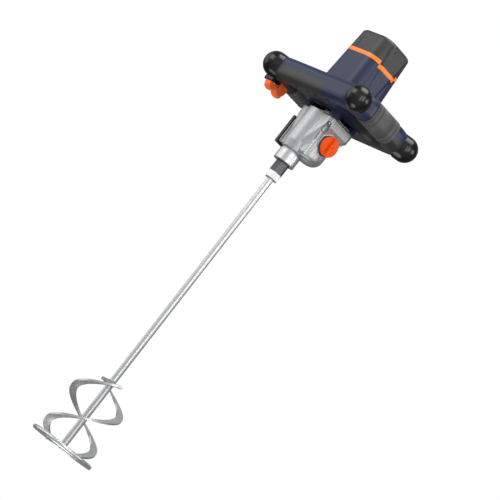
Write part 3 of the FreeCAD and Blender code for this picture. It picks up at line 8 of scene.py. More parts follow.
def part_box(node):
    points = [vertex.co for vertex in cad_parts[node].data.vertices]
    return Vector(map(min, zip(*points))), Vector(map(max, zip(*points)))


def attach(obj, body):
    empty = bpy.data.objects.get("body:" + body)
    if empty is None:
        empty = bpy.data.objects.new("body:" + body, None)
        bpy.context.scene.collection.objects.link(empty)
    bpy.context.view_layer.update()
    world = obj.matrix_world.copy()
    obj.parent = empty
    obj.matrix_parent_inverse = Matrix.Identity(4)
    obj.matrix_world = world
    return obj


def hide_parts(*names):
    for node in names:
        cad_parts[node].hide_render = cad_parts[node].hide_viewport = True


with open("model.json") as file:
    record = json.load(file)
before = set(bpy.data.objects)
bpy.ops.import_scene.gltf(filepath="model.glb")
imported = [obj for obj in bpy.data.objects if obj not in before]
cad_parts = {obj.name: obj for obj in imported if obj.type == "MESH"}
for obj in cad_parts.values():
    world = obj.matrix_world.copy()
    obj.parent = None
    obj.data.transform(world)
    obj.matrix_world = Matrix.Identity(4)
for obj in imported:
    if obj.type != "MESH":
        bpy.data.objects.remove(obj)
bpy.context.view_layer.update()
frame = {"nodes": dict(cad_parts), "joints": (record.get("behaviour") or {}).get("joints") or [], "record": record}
nodes = frame["nodes"]
bodies = frame["record"]["behaviour"]["bodies"]
bodyOf = {member: body for body, members in bodies.items() for member in members}
scene = bpy.context.scene
mm = 0.001
print("frame loaded:", len(nodes), "nodes")

# camera, as fitted to the photograph: it looks up at the tool from its right front corner
cameraSettings = {
    "place": (3.1099, -2.4702, -0.1180),
    "right": (0.5665, 0.5578, 0.6066),
    "up": (-0.2992, -0.5467, 0.7821),
    "lens": 172.2,
    "sensor": 36.0,
    "clipEnd": 50.0,
}
cameraData = bpy.data.cameras.new("photoCamera")
cameraData.lens = cameraSettings["lens"]
cameraData.sensor_width = cameraSettings["sensor"]
cameraData.clip_end = cameraSettings["clipEnd"]
camera = bpy.data.objects.new("photoCamera", cameraData)
scene.collection.objects.link(camera)
cameraRight = Vector(cameraSettings["right"]).normalized()
cameraBack = cameraRight.cross(Vector(cameraSettings["up"])).normalized()
cameraUp = cameraBack.cross(cameraRight)
cameraTurn = Matrix((cameraRight, cameraUp, cameraBack)).transposed().to_4x4()
camera.matrix_world = Matrix.Translation(cameraSettings["place"]) @ cameraTurn
scene.camera = camera
scene.view_settings.view_transform = "Standard"
print("camera set")


def linear(hexValue):
    parts = [int(hexValue[i:i + 2], 16) / 255 for i in (1, 3, 5)]
    return tuple(c / 12.92 if c <= 0.04045 else ((c + 0.055) / 1.055) ** 2.4 for c in parts) + (1.0,)


def addNode(tree, kind, settings=None, links=None):
    node = tree.nodes.new(kind)
    for key, value in (settings or {}).items():
        if isinstance(key, str) and hasattr(node, key):
            setattr(node, key, value)
        else:
            node.inputs[key].default_value = value
    for key, source in (links or {}).items():
        tree.links.new(source, node.inputs[key])
    return node


def camel(member):
    first, *rest = member.split("_")
    return first + "".join(word.title() for word in rest)


def meshOf(name, shape, outwards=False):
    if outwards:
        bmesh.ops.recalc_face_normals(shape, faces=shape.faces)
    mesh = bpy.data.meshes.new(name)
    shape.to_mesh(mesh)
    shape.free()
    return mesh


def addPiece(name, mesh):
    piece = bpy.data.objects.new(name, mesh)
    scene.collection.objects.link(piece)
    return piece


# studio: a white room, soft boxes, and a dome that only gloss can see
headCentre = Vector((0.0, 0.02, 0.72))
studio = {
    "roomLight": 0.45,
    "floorLevel": -2.4,
    "floorHalf": 12.0,
    "floorColour": "#f2f2f2",
}
softBoxes = {  # place from the middle of the head in metres, size, power
    "keyBox": ((-1.5, -1.25, 0.2), (1.6, 2.2), 14.5),
    "frontBox": ((-0.5, -1.8, 0.75), (1.1, 1.1), 14.0),
    "stripBox": ((2.0, -0.95, 0.05), (0.3, 1.7), 8.0),  # a tall strip: lines of light on round bars
    "edgeBox": ((2.1, -0.2, 0.4), (0.35, 1.4), 8.5),
    "fillBox": ((1.8, 1.1, 0.5), (0.9, 0.9), 11.0),
    "topBox": ((0.3, -0.2, 1.6), (1.2, 1.2), 24.0),
    "lowBox": ((0.0, 0.0, -1.9), (0.9, 0.9), 10.0),  # undersides, which the camera looks up at
}
glossDome = {
    "radius": 3.0,
    "faces": (48, 24),
    "ramp": [(0.05, 0.35), (0.3, 0.05), (0.58, 0.05), (0.95, 0.8)],  # (share of the way to the camera, light)
    "dimSpan": (-0.3, 0.1),  # heights, as shares of the radius, between which it dims downwards
    "below": 0.5,            # how much light is left under that
}


def seenRays(tree):
    rays = addNode(tree, "ShaderNodeLightPath").outputs
    seen = addNode(tree, "ShaderNodeMath", {"operation": "MAXIMUM"},
                   {0: rays["Is Camera Ray"], 1: rays["Is Glossy Ray"]})
    return addNode(tree, "ShaderNodeMath", {"operation": "MAXIMUM"},
                   {0: seen.outputs[0], 1: rays["Is Transmission Ray"]}).outputs[0]


world = bpy.data.worlds.new("whiteRoom")
scene.world = world
world.use_nodes = True
room = world.node_tree
room.nodes.clear()
level = addNode(room, "ShaderNodeMapRange", {3: studio["roomLight"], 4: 1.0}, {0: seenRays(room)})
light = addNode(room, "ShaderNodeBackground", {"Color": (1, 1, 1, 1)}, {"Strength": level.outputs[0]})
addNode(room, "ShaderNodeOutputWorld", None, {"Surface": light.outputs[0]})

for name, (offset, size, power) in softBoxes.items():
    lampData = bpy.data.lights.new(name, "AREA")
    lampData.shape = "RECTANGLE"
    lampData.size, lampData.size_y = size
    lampData.energy = power
    lamp = bpy.data.objects.new(name, lampData)
    scene.collection.objects.link(lamp)
    lamp.location = headCentre + Vector(offset)
    lamp.rotation_mode = "QUATERNION"
    lamp.rotation_quaternion = (-Vector(offset)).to_track_quat("-Z", "Y")  # aimed at the head

domeShape = bmesh.new()
across, upwards = glossDome["faces"]
bmesh.ops.create_uvsphere(domeShape, u_segments=across, v_segments=upwards, radius=glossDome["radius"])
bmesh.ops.translate(domeShape, verts=domeShape.verts, vec=headCentre)
bmesh.ops.reverse_faces(domeShape, faces=domeShape.faces)
dome = addPiece("glossDome", meshOf("glossDome", domeShape))
domePaint = bpy.data.materials.new("domePaint")
domePaint.use_nodes = True
domeTree = domePaint.node_tree
domeTree.nodes.clear()
towards = (Vector(cameraSettings["place"]) - headCentre).normalized()
spot = addNode(domeTree, "ShaderNodeNewGeometry").outputs["Position"]
away = addNode(domeTree, "ShaderNodeVectorMath", {"operation": "SUBTRACT", 1: headCentre}, {0: spot})
away = addNode(domeTree, "ShaderNodeVectorMath", {"operation": "NORMALIZE"}, {0: away.outputs[0]})
height = addNode(domeTree, "ShaderNodeSeparateXYZ", None, {0: away.outputs[0]})
dimLow, dimHigh = glossDome["dimSpan"]
dim = addNode(domeTree, "ShaderNodeMapRange", {1: dimLow, 2: dimHigh, 3: glossDome["below"], 4: 1.0},
              {0: height.outputs[2]})
facing = addNode(domeTree, "ShaderNodeVectorMath", {"operation": "DOT_PRODUCT", 1: towards},
                 {0: away.outputs[0]})
facing = addNode(domeTree, "ShaderNodeMapRange", {1: -1.0, 2: 1.0}, {0: facing.outputs["Value"]})
ramp = addNode(domeTree, "ShaderNodeValToRGB", None, {0: facing.outputs[0]})
stops = ramp.color_ramp.elements
while len(stops) < len(glossDome["ramp"]):
    stops.new(0.5)
for stop, (position, bright) in zip(stops, glossDome["ramp"]):
    stop.position, stop.color = position, (bright,) * 3 + (1,)
glow = addNode(domeTree, "ShaderNodeEmission", None, {"Color": ramp.outputs[0], "Strength": dim.outputs[0]})
addNode(domeTree, "ShaderNodeOutputMaterial", None, {"Surface": glow.outputs[0]})
domePaint.cycles.emission_sampling = "NONE"  # gloss finds it without aimed rays
dome.data.materials.append(domePaint)
for kind in ("camera", "diffuse", "transmission", "volume_scatter", "shadow"):
    setattr(dome, "visible_" + kind, False)
print("studio lit")

# each finish: two colours that mix over the surface, limits of roughness, and patch, grain and bump in
# millimetres; the grain is drawn coarser than the real one, so that it shows
plainFinish = {"metal": 0.0, "stretch": (1, 1, 1), "specular": 0.5}
grainLook = {"patchDetail": 3.0, "grainDetail": 2.0, "bumpStrength": 0.5}
finishes = {
    # zinc plated drawn bar: bright, with faint lines along it
    "zincPlatedSteel": {"colours": ("#c6c8ca", "#d2d4d5"), "metal": 0.7, "rough": (0.28, 0.36),
                        "patch": 9.0, "grain": 1.6, "bump": 0.001, "stretch": (1, 1, 0.08)},
    # blacked hexagon and screws: dark, with a dull shine
    "blackOxideSteel": {"colours": ("#4a4a4c", "#58585a"), "metal": 1.0, "rough": (0.34, 0.46),
                        "patch": 6.0, "grain": 0.8, "bump": 0.02},
    # machined on a lathe: lines round the axis
    "turnedAluminium": {"colours": ("#c0c1c2", "#cccdce"), "metal": 0.85, "rough": (0.36, 0.44),
                        "patch": 8.0, "grain": 1.1, "bump": 0.012, "stretch": (0.06, 0.06, 1)},
    # blasted casting: satin, with fine grit
    "dieCastAluminium": {"colours": ("#b0b1b2", "#bebfc0"), "metal": 0.85, "rough": (0.46, 0.56),
                         "patch": 14.0, "grain": 0.8, "bump": 0.03},
    # moulded in a spark-eroded tool: a soft sheen
    "navyAbs": {"colours": ("#1f2744", "#242c4a"), "rough": (0.36, 0.46),
                "patch": 18.0, "grain": 0.7, "bump": 0.03, "specular": 0.4},
    # moulded, a little coarser: a dull sheen
    "charcoalAbs": {"colours": ("#2a2a2a", "#323232"), "rough": (0.4, 0.52),
                    "patch": 16.0, "grain": 0.7, "bump": 0.04},
    # rubber moulded over the corners: smooth, with some gloss
    "blackElastomer": {"colours": ("#141414", "#1b1b1b"), "rough": (0.2, 0.28),
                       "patch": 12.0, "grain": 1.0, "bump": 0.01, "specular": 0.4},
    # soft grip rubber: matt
    "gripElastomer": {"colours": ("#444444", "#4e4e4e"), "rough": (0.5, 0.62),
                      "patch": 10.0, "grain": 0.6, "bump": 0.05},
    # moulded knob: strong colour, hardly any shine
    "orangeAbs": {"colours": ("#ec4f04", "#f35a0a"), "rough": (0.44, 0.54),
                  "patch": 12.0, "grain": 0.7, "bump": 0.03, "specular": 0.15},
    # moulded trigger: the knob's orange painted paler, a painted light from low at the left; handled smooth
    "paintedLitOrangeAbs": {"colours": ("#fb6a28", "#ff7434"), "rough": (0.4, 0.5),
                         "patch": 12.0, "grain": 0.7, "bump": 0.03, "specular": 0.4},
    # moulded band: the lightest orange, with a soft sheen
    "bandOrangeAbs": {"colours": ("#ff7d22", "#ff8830"), "rough": (0.36, 0.46),
                      "patch": 12.0, "grain": 0.7, "bump": 0.03},
    # ground gears, shafts and screws: bright
    "groundSteel": {"colours": ("#9b9da0", "#adafb1"), "metal": 1.0, "rough": (0.22, 0.34),
                    "patch": 5.0, "grain": 0.6, "bump": 0.02},
    # stacked sheets: lines round the core
    "laminatedSteel": {"colours": ("#5d5f62", "#77797c"), "metal": 1.0, "rough": (0.38, 0.5),
                       "patch": 4.0, "grain": 0.5, "bump": 0.06, "stretch": (0.02, 0.02, 1)},
    # lacquered wire: brown, with streaks along the winding
    "enamelledCopper": {"colours": ("#8a3f1d", "#a9562b"), "metal": 1.0, "rough": (0.24, 0.36),
                        "patch": 2.5, "grain": 0.6, "bump": 0.06, "stretch": (1, 1, 0.2)},
    # pressed powder: matt and nearly black
    "pressedCarbon": {"colours": ("#1a1a1b", "#252527"), "rough": (0.5, 0.65),
                      "patch": 3.0, "grain": 0.4, "bump": 0.05},
}
materials = {}
for finishName, finish in finishes.items():
    look = {**plainFinish, **finish}
    material = bpy.data.materials.new(finishName)
    material.use_nodes = True
    tree = material.node_tree
    tree.nodes.clear()
    shader = addNode(tree, "ShaderNodeBsdfPrincipled",
                     {"Metallic": look["metal"], "Specular IOR Level": look["specular"]})
    addNode(tree, "ShaderNodeOutputMaterial", None, {"Surface": shader.outputs[0]})
    place = addNode(tree, "ShaderNodeTexCoord").outputs["Object"]
    stretched = addNode(tree, "ShaderNodeMapping", {"Scale": look["stretch"]}, {"Vector": place})
    patches = addNode(tree, "ShaderNodeTexNoise",
                      {"Scale": 1 / (look["patch"] * mm), "Detail": grainLook["patchDetail"]},
                      {"Vector": stretched.outputs[0]})
    grain = addNode(tree, "ShaderNodeTexNoise",
                    {"Scale": 1 / (look["grain"] * mm), "Detail": grainLook["grainDetail"]},
                    {"Vector": stretched.outputs[0]})
    tint = addNode(tree, "ShaderNodeMix", {"data_type": "RGBA"}, {0: patches.outputs[0]})
    tint.inputs[6].default_value = linear(look["colours"][0])
    tint.inputs[7].default_value = linear(look["colours"][1])
    smooth, coarse = look["rough"]
    gloss = addNode(tree, "ShaderNodeMapRange", {3: smooth, 4: coarse}, {0: patches.outputs[0]})
    bump = addNode(tree, "ShaderNodeBump",
                   {"Strength": grainLook["bumpStrength"], "Distance": look["bump"] * mm},
                   {"Height": grain.outputs[0]})
    tree.links.new(tint.outputs[2], shader.inputs["Base Color"])
    tree.links.new(gloss.outputs[0], shader.inputs["Roughness"])
    tree.links.new(bump.outputs[0], shader.inputs["Normal"])
    materials[finishName] = material
print("finishes made:", len(materials))

finishOf = {
    "zincPlatedSteel": ["paddle_ring", "paddle_shaft", "ring_spoke", "top_bar", "helix_blade_a",
                        "helix_blade_b", "lock_nut"],
    "blackOxideSteel": ["output_spindle", "handle_screws", "bumper_screws", "cap_screws"],
    "turnedAluminium": ["neck_collar"],
    "dieCastAluminium": ["gearbox_case", "bearing_plate"],
    "navyAbs": ["motor_housing", "handle_upper_shell", "handle_lower_shell"],
    "charcoalAbs": ["rear_cap", "trigger_handle_shell", "bearing_bracket", "cooling_fan", "switch_body",
                    "selector_base", "side_cover"],
    "blackElastomer": ["bumper_front_left", "bumper_front_right", "bumper_rear_left", "bumper_rear_right",
                       "cable_gland", "spindle_seal"],
    "gripElastomer": ["right_grip_sleeve", "left_grip_sleeve"],
    "orangeAbs": ["selector_knob"],
    "paintedLitOrangeAbs": ["trigger", "lock_button"],
    "bandOrangeAbs": ["orange_band"],
    "groundSteel": ["gearbox_screws", "spindle_sleeve", "gear_spacer", "spindle_circlip", "low_gear",
                    "high_gear", "intermediate_shaft", "first_stage_gear", "shift_cluster",
                    "armature_shaft", "spindle_bearing", "motor_bearing", "top_motor_bearing",
                    "selector_shaft", "trigger_spring", "brush_springs"],
    "laminatedSteel": ["stator_core", "armature_core"],
    "enamelledCopper": ["field_coils", "armature_windings", "commutator", "brush_holders"],
    "pressedCarbon": ["carbon_brushes"],
}
finishFor = {member: finishName for finishName, members in finishOf.items() for member in members}
for member, finishName in finishFor.items():
    slots = nodes[member].material_slots
    if slots:
        for each in slots:
            each.material = materials[finishName]
    else:
        nodes[member].data.materials.append(materials[finishName])
print("finishes given to the CAD pieces")

edges = {
    "sharpFrom": math.radians(38),     # edges that turn more than this are broken or left crisp
    "flatWithin": math.radians(0.5),   # faces closer than this are made one
    "mergeGap": 0.002,                 # the CAD mesh is loose triangles, so its points are merged
}


def cadShape(member):
    shape = bmesh.new()
    shape.from_mesh(nodes[member].data)
    bmesh.ops.remove_doubles(shape, verts=shape.verts, dist=edges["mergeGap"] * mm)
    return shape


def joinFlat(shape):
    bmesh.ops.dissolve_limit(shape, angle_limit=edges["flatWithin"], verts=shape.verts, edges=shape.edges)
    return shape


def islands(shape):
    left = set(shape.verts)
    while left:
        group, queue = set(), [left.pop()]
        while queue:
            vert = queue.pop()
            group.add(vert)
            for edge in vert.link_edges:
                other = edge.other_vert(vert)
                if other in left:
                    left.remove(other)
                    queue.append(other)
        yield group


def span(verts):
    xs, ys, zs = zip(*(vert.co for vert in verts))
    return (min(xs), min(ys), min(zs)), (max(xs), max(ys), max(zs))


def placed(middle, size):
    return Matrix.Translation(Vector(middle) * mm) @ Matrix.Diagonal(Vector(size) * mm).to_4x4()


def softened(look):
    return [("REMESH", {"mode": "VOXEL", "voxel_size": look["voxel"] * mm, "use_smooth_shade": True}),
            ("SMOOTH", {"factor": look["smoothing"], "iterations": look["passes"]})]


def bevel(width, steps):
    return "BEVEL", {"width": width * mm, "segments": steps, "limit_method": "ANGLE",
                     "angle_limit": edges["sharpFrom"], "use_clamp_overlap": True}


def cutBy(cutter):
    return "BOOLEAN", {"operation": "DIFFERENCE", "object": cutter, "solver": "EXACT"}


def makePlain(piece):
    bpy.context.view_layer.update()
    seenPiece = piece.evaluated_get(bpy.context.evaluated_depsgraph_get())
    plain = bpy.data.meshes.new_from_object(seenPiece)
    piece.modifiers.clear()
    piece.data = plain
    plain.name = piece.name


def settle(piece, modifiers):
    for kind, settings in modifiers:
        modifier = piece.modifiers.new(kind.lower(), kind)
        for key, value in settings.items():
            setattr(modifier, key, value)
    makePlain(piece)


def standIn(member, name, shape, modifiers=(), evenNormals=False):
    piece = addPiece(name, meshOf(name, shape))
    settle(piece, modifiers)
    piece.data.polygons.foreach_set("use_smooth", [True] * len(piece.data.polygons))
    piece.data.set_sharp_from_angle(angle=edges["sharpFrom"])
    if evenNormals:
        settle(piece, [("WEIGHTED_NORMAL", {"keep_sharp": True})])  # large faces stay flat beside round edges
    piece.data.materials.clear()
    piece.data.materials.append(materials[finishFor[member]])
    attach(piece, bodyOf[member])
    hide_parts(member)


# the casting: a deep pocket under each corner screw, and edges run soft, as a mould leaves them
casting = {
    "voxel": 0.9,
    "smoothing": 0.5,
    "passes": 9,
    "pocketRadius": 6.0,
    "pocketOut": 0.3,    # how far the pocket lies outside the screw, on each axis
    "pocketDeep": 20.0,
    "pocketSides": 32,
    "headHigh": 4.0,     # the pocket ends where the screw's head seats
}
motorAxis = next(joint for joint in frame["joints"] if joint["name"] == "armature_spin")["pos_m"]
pocketShape = bmesh.new()
screwShape = cadShape("gearbox_screws")
for group in islands(screwShape):
    least, most = span(group)
    x, y = ((least[i] + most[i]) / 2 for i in (0, 1))
    x += math.copysign(casting["pocketOut"] * mm, x - motorAxis[0])
    y += math.copysign(casting["pocketOut"] * mm, y - motorAxis[1])
    z = least[2] + (casting["headHigh"] - casting["pocketDeep"] / 2) * mm
    bmesh.ops.create_cone(pocketShape, cap_ends=True, segments=casting["pocketSides"],
                          radius1=casting["pocketRadius"] * mm, radius2=casting["pocketRadius"] * mm,
                          depth=casting["pocketDeep"] * mm, matrix=Matrix.Translation((x, y, z)))
screwShape.free()
pocketCutter = addPiece("screwPockets", meshOf("screwPockets", pocketShape, outwards=True))
standIn("gearbox_case", "castGearbox", cadShape("gearbox_case"), [cutBy(pocketCutter)] + softened(casting))
bpy.data.objects.remove(pocketCutter)
print("casting softened")

# the trigger's two finger lobes are filled out and rounded over: middle and half sizes, in millimetres
softTrigger = {
    "voxel": 0.6,
    "smoothing": 0.5,
    "passes": 40,
    "lobes": [((-112, -39.5, 709.2), (8.2, 10.0, 6.4)), ((-112, -17.5, 709.5), (8.2, 12.0, 8.0))],
    "lobeDetail": 4,
}
triggerShape = cadShape("trigger")
for middle, halves in softTrigger["lobes"]:
    bmesh.ops.create_icosphere(triggerShape, subdivisions=softTrigger["lobeDetail"], radius=1.0,
                               matrix=placed(middle, halves))
standIn("trigger", "roundedTrigger", triggerShape, softened(softTrigger))
print("trigger rounded")

# a rubber lip round the front of the trigger: two walls and an end, lower at the front
triggerLip = {
    "middle": -112.0,
    "inner": 8.8,     # each wall stands between these two distances from the middle
    "outer": 11.6,
    "end": 1.7,       # how thick the end is
    "overlap": 1.0,   # how far the end runs into the walls
    "outline": [(-51, 724), (-51, 718), (-49, 716), (-40, 716.6),  # (y, z)
                (-34, 719), (-30, 723.5), (-29, 724)],
    "voxel": 0.5,
    "smoothing": 0.5,
    "passes": 8,
}


def hullInto(shape, points):
    made = bmesh.ops.convex_hull(shape, input=[shape.verts.new(point) for point in points])
    spare = [item for item in made["geom_interior"] if isinstance(item, bmesh.types.BMVert)]
    bmesh.ops.delete(shape, geom=spare, context="VERTS")


lipShape = bmesh.new()
lipMiddle, lipInner, lipOuter = (triggerLip[key] for key in ("middle", "inner", "outer"))
lipBack = triggerLip["outline"][0][0] + triggerLip["end"]
lipEnd = [(min(y, lipBack), z) for y, z in triggerLip["outline"]]
lipReach = lipInner + triggerLip["overlap"]
lipWalls = [(lipMiddle + side * lipInner, lipMiddle + side * lipOuter, triggerLip["outline"])
            for side in (-1, 1)]
lipWalls.append((lipMiddle - lipReach, lipMiddle + lipReach, lipEnd))
for first, second, outline in lipWalls:
    hullInto(lipShape, [Vector((x, y, z)) * mm for x in (first, second) for y, z in outline])
lip = addPiece("triggerLip", meshOf("triggerLip", lipShape, outwards=True))
settle(lip, softened(triggerLip))
lip.data.materials.append(materials["blackElastomer"])
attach(lip, "tool")
print("trigger lip set")

# broken edges on turned and moulded pieces: width in millimetres
edgeSteps = 3
brokenEdges = {
    "neck_collar": 0.9, "output_spindle": 0.6, "lock_nut": 0.7, "selector_knob": 1.3, "selector_base": 0.8,
    "side_cover": 0.5, "lock_button": 0.6, "rear_cap": 0.7, "motor_housing": 0.5,
    "handle_upper_shell": 0.35, "handle_lower_shell": 0.35, "trigger_handle_shell": 0.35,
    "top_bar": 0.8, "helix_blade_a": 0.6, "helix_blade_b": 0.6,
}
slits = {  # narrow cuts in moulded pieces: middle and size of each, in millimetres
    "rear_cap": [((-16.4, -19.2, 852), (1.1, 5, 27)), ((16.4, 62.2, 852), (1.1, 5, 27)),
                 ((48.6, 7.5, 868), (4, 1.2, 6)), ((-48.6, 35.5, 868), (4, 1.2, 6))],
    "selector_knob": [((59.4, 17.5, 671.5), (9, 2.4, 2.4))],
}
slitCutters = {}
for member, cuts in slits.items():
    slitShape = bmesh.new()
    for middle, size in cuts:
        bmesh.ops.create_cube(slitShape, matrix=placed(middle, size))
    slitName = camel(member) + "Slits"
    slitCutters[member] = addPiece(slitName, meshOf(slitName, slitShape, outwards=True))
for member, width in brokenEdges.items():
    changes = [bevel(width, edgeSteps)]
    if member in slitCutters:
        changes.append(cutBy(slitCutters[member]))
    standIn(member, camel(member) + "Skin", joinFlat(cadShape(member)), changes, evenNormals=True)
for cutter in slitCutters.values():
    bpy.data.objects.remove(cutter)
print("edges broken:", len(brokenEdges))

# grip covers: the CAD sleeve is cut into rings, and the rings are pressed in towards the middle of the grip
sleeveLook = {
    "grooves": (-9.0, 0.5, 34.0, 43.0),  # places along the plain grip
    "grooveWide": 1.2,
    "grooveDeep": 1.1,
    "ribPitch": 7.0,   # finger ribs on the trigger's grip
    "ribDeep": 0.9,
    "ribSteps": 8,
    "ribInset": 1.0,   # plain stretch at each end
    "cutSnap": 0.001,  # points this close to a cut count as on it
}


def pressedSleeve(member, name, pressAt):
    lowest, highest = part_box(member)
    middle = (lowest + highest) / 2
    shape = cadShape(member)
    for y in pressAt:
        everything = shape.verts[:] + shape.edges[:] + shape.faces[:]
        bmesh.ops.bisect_plane(shape, geom=everything, dist=sleeveLook["cutSnap"] * mm,
                               plane_co=(0, y * mm, 0), plane_no=(0, 1, 0))
    shape.normal_update()
    for vert in shape.verts:
        outwards = Vector((vert.co.x - middle.x, 0, vert.co.z - middle.z))
        if vert.normal.dot(outwards) >= 0:  # the bore stays round
            vert.co -= outwards.normalized() * pressAt.get(round(vert.co.y / mm, 2), 0.0) * mm
    standIn(member, name, shape)


halfWide = sleeveLook["grooveWide"] / 2
grooveCuts = {}
for y in sleeveLook["grooves"]:
    for offset, depth in ((-halfWide, 0.0), (0.0, sleeveLook["grooveDeep"]), (halfWide, 0.0)):
        grooveCuts[round(y + offset, 2)] = depth
pressedSleeve("right_grip_sleeve", "plainGripCover", grooveCuts)
ribLow, ribHigh = (corner.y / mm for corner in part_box("left_grip_sleeve"))
ribCount = int((ribHigh - ribLow - 2 * sleeveLook["ribInset"]) / sleeveLook["ribPitch"])
ribCuts = {}
for step in range(ribCount * sleeveLook["ribSteps"] + 1):
    turn = step / sleeveLook["ribSteps"]
    y = round(ribLow + sleeveLook["ribInset"] + turn * sleeveLook["ribPitch"], 2)
    ribCuts[y] = sleeveLook["ribDeep"] * (0.5 - 0.5 * math.cos(2 * math.pi * turn))
pressedSleeve("left_grip_sleeve", "ribbedGripCover", ribCuts)
print("grip covers pressed")


def newTree(name, inputs):
    tree = bpy.data.node_groups.new(name, "GeometryNodeTree")
    tree.interface.new_socket("Path", in_out="INPUT", socket_type="NodeSocketGeometry")
    for label, kind in inputs.items():
        tree.interface.new_socket(label, in_out="INPUT", socket_type="NodeSocket" + kind)
    tree.interface.new_socket("Shape", in_out="OUTPUT", socket_type="NodeSocketGeometry")
    return tree, addNode(tree, "NodeGroupInput").outputs


def runTree(tree, inputs, mesh, name):
    holder = addPiece(name, mesh)
    modifier = holder.modifiers.new("shapeTree", "NODES")
    modifier.node_group = tree
    sockets = {item.name: item.identifier for item in tree.interface.items_tree if item.in_out == "INPUT"}
    for label, value in inputs.items():
        modifier[sockets[label]] = value
    makePlain(holder)
    return holder


# welds on the paddle: small overlapping drops of metal along rings round its bars
weld = {
    "drop": 1.5,
    "dropDetail": 2,
    "pitch": 1.3,
    "unevenLow": 0.85,
    "unevenHigh": 1.15,
    "seed": 7,
    "ringPoints": 28,
    "offShaft": 0.4,   # how far the ring on the top bar stands off the shaft
    "offRing": 0.5,    # how far the spoke's outer ring stays inside the paddle's ring
    "shaftBelow": 100.0,  # the shaft is plain under this height
}
weldTree, weldIn = newTree("weldBead", {"Drop": "Float", "Pitch": "Float", "Low": "Float", "High": "Float",
                                        "Seed": "Int", "Metal": "Material"})
path = addNode(weldTree, "GeometryNodeMeshToCurve", None, {0: weldIn["Path"]})
path = addNode(weldTree, "GeometryNodeResampleCurve", {"mode": "LENGTH"},
               {"Curve": path.outputs[0], "Length": weldIn["Pitch"]})
drop = addNode(weldTree, "GeometryNodeMeshIcoSphere", {"Subdivisions": weld["dropDetail"]},
               {"Radius": weldIn["Drop"]})
uneven = addNode(weldTree, "FunctionNodeRandomValue", {"data_type": "FLOAT"},
                 {2: weldIn["Low"], 3: weldIn["High"], "Seed": weldIn["Seed"]})
drops = addNode(weldTree, "GeometryNodeInstanceOnPoints", None,
                {"Points": path.outputs[0], "Instance": drop.outputs[0], "Scale": uneven.outputs[1]})
drops = addNode(weldTree, "GeometryNodeRealizeInstances", None, {0: drops.outputs[0]})
drops = addNode(weldTree, "GeometryNodeSetShadeSmooth", None, {0: drops.outputs[0]})
drops = addNode(weldTree, "GeometryNodeSetMaterial", None, {0: drops.outputs[0], "Material": weldIn["Metal"]})
addNode(weldTree, "NodeGroupOutput", None, {0: drops.outputs[0]})


def ringPath(shape, centre, axis, radius):
    count = weld["ringPoints"]
    turn = Vector(axis).to_track_quat("Z", "Y")
    angles = [2 * math.pi * i / count for i in range(count)]
    verts = [shape.verts.new(Vector(centre) + turn @ Vector((radius * math.cos(a), radius * math.sin(a), 0)))
             for a in angles]
    for i in range(count):
        shape.edges.new((verts[i], verts[(i + 1) % count]))


shaftRadius = max(vert.co.x for vert in nodes["paddle_shaft"].data.vertices
                  if vert.co.z < weld["shaftBelow"] * mm)
barEnds = [corner.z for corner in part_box("top_bar")]
spokeLow, spokeHigh = (corner.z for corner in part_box("ring_spoke"))
spokeZ, spokeBar = (spokeLow + spokeHigh) / 2, (spokeHigh - spokeLow) / 2
spokeTip = max((vert.co for vert in nodes["ring_spoke"].data.vertices), key=lambda co: co.x)
spokeAlong = Vector((spokeTip.x, spokeTip.y, 0)).normalized()
spokeReach = spokeTip.xy.length
weldShape = bmesh.new()
for z in barEnds:
    ringPath(weldShape, (0, 0, z), (0, 0, 1), shaftRadius + weld["offShaft"] * mm)
for side in (-1, 1):
    outwards = spokeAlong * side
    for reach in (shaftRadius, spokeReach - weld["offRing"] * mm):
        ringPath(weldShape, outwards * reach + Vector((0, 0, spokeZ)), outwards, spokeBar)
welds = runTree(weldTree, {"Drop": weld["drop"] * mm, "Pitch": weld["pitch"] * mm, "Low": weld["unevenLow"],
                           "High": weld["unevenHigh"], "Seed": weld["seed"],
                           "Metal": materials["zincPlatedSteel"]}, meshOf("weldPath", weldShape), "weldBeads")
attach(welds, "spindle")
print("welds laid")

# screw heads get a cross recess, cut by a pattern of small crosses at the heads
recess = {"length": 4.0, "width": 1.1, "depth": 1.2, "edge": 0.25, "edgeSteps": 2}
headFacing = {"handle_screws": -1, "bumper_screws": -1, "gearbox_screws": -1, "cap_screws": 1}  # down or up
crossTree, crossIn = newTree("crossRecess", {"Length": "Float", "Width": "Float", "Depth": "Float",
                                             "Metal": "Material"})
spans = [addNode(crossTree, "ShaderNodeCombineXYZ", None,
                 {0: crossIn[first], 1: crossIn[second], 2: crossIn["Depth"]})
         for first, second in (("Length", "Width"), ("Width", "Length"))]
bars = [addNode(crossTree, "GeometryNodeMeshCube", None, {"Size": each.outputs[0]}) for each in spans]
cross = addNode(crossTree, "GeometryNodeMeshBoolean", {"operation": "UNION"})
for bar in bars:
    crossTree.links.new(bar.outputs[0], cross.inputs[1])
heads = addNode(crossTree, "GeometryNodeMeshToPoints", None, {0: crossIn["Path"]})
heads = addNode(crossTree, "GeometryNodeInstanceOnPoints", None,
                {"Points": heads.outputs[0], "Instance": cross.outputs[0]})
heads = addNode(crossTree, "GeometryNodeRealizeInstances", None, {0: heads.outputs[0]})
heads = addNode(crossTree, "GeometryNodeSetMaterial", None, {0: heads.outputs[0], "Material": crossIn["Metal"]})
addNode(crossTree, "NodeGroupOutput", None, {0: heads.outputs[0]})

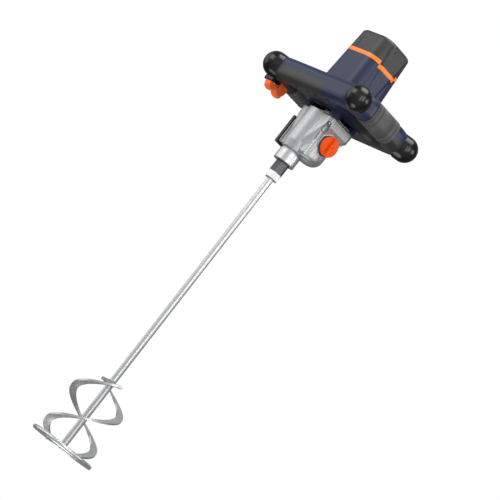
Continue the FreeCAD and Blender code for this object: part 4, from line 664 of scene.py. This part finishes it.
for member, facing in headFacing.items():
    shape = cadShape(member)
    headShape = bmesh.new()
    for group in islands(shape):
        least, most = span(group)
        top = most[2] if facing > 0 else least[2]
        headShape.verts.new(((least[0] + most[0]) / 2, (least[1] + most[1]) / 2, top))
    cutter = runTree(crossTree, {"Length": recess["length"] * mm, "Width": recess["width"] * mm,
                                 "Depth": 2 * recess["depth"] * mm, "Metal": materials[finishFor[member]]},
                     meshOf(camel(member) + "Heads", headShape), camel(member) + "Cutter")
    standIn(member, member.split("_")[0] + "ScrewSet", shape,
            [cutBy(cutter), bevel(recess["edge"], recess["edgeSteps"])])
    bpy.data.objects.remove(cutter)
print("screw heads cut")

# the orange band stands a little proud, and a black ring under it paints the line of shade below the band
band = {"proud": 0.35, "edge": 0.4, "edgeSteps": 2, "shadowLineProud": 0.15, "shadowLineShows": 1.3}
bandLow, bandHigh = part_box("orange_band")


def grownBand(proud, drop):
    shape = cadShape("orange_band")
    for vert in shape.verts:
        for i in (0, 1):
            half = (bandHigh[i] - bandLow[i]) / 2
            vert.co[i] = motorAxis[i] + (vert.co[i] - motorAxis[i]) * (half + proud * mm) / half
        vert.co.z -= drop * mm
    return joinFlat(shape)


standIn("orange_band", "orangeBand", grownBand(band["proud"], 0), [bevel(band["edge"], band["edgeSteps"])])
# painted shadow: a black ring of the bumpers' rubber, just under the band, stands for the shade the band casts
bandSeal = addPiece("bandSeal", meshOf("bandSeal", grownBand(band["shadowLineProud"], band["shadowLineShows"])))
bandSeal.data.materials.append(materials["blackElastomer"])
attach(bandSeal, "tool")
print("band sealed")

# a pale floor far below, lower than the camera
floorShape = bmesh.new()
bmesh.ops.create_grid(floorShape, x_segments=1, y_segments=1, size=studio["floorHalf"])
bmesh.ops.translate(floorShape, verts=floorShape.verts, vec=(0, 0, studio["floorLevel"]))
floor = addPiece("studioFloor", meshOf("studioFloor", floorShape))
floorPaint = bpy.data.materials.new("palePaint")
floorPaint.use_nodes = True
paintTree = floorPaint.node_tree
paintTree.nodes.clear()
matt = addNode(paintTree, "ShaderNodeBsdfDiffuse", {"Color": linear(studio["floorColour"])})
white = addNode(paintTree, "ShaderNodeEmission", {"Color": (1, 1, 1, 1), "Strength": 1.0})
both = addNode(paintTree, "ShaderNodeMixShader", None,
               {0: seenRays(paintTree), 1: matt.outputs[0], 2: white.outputs[0]})
addNode(paintTree, "ShaderNodeOutputMaterial", None, {"Surface": both.outputs[0]})
floorPaint.cycles.emission_sampling = "NONE"  # it is a backdrop, not a lamp
floor.data.materials.append(floorPaint)
print("floor laid")

print("pieces done")
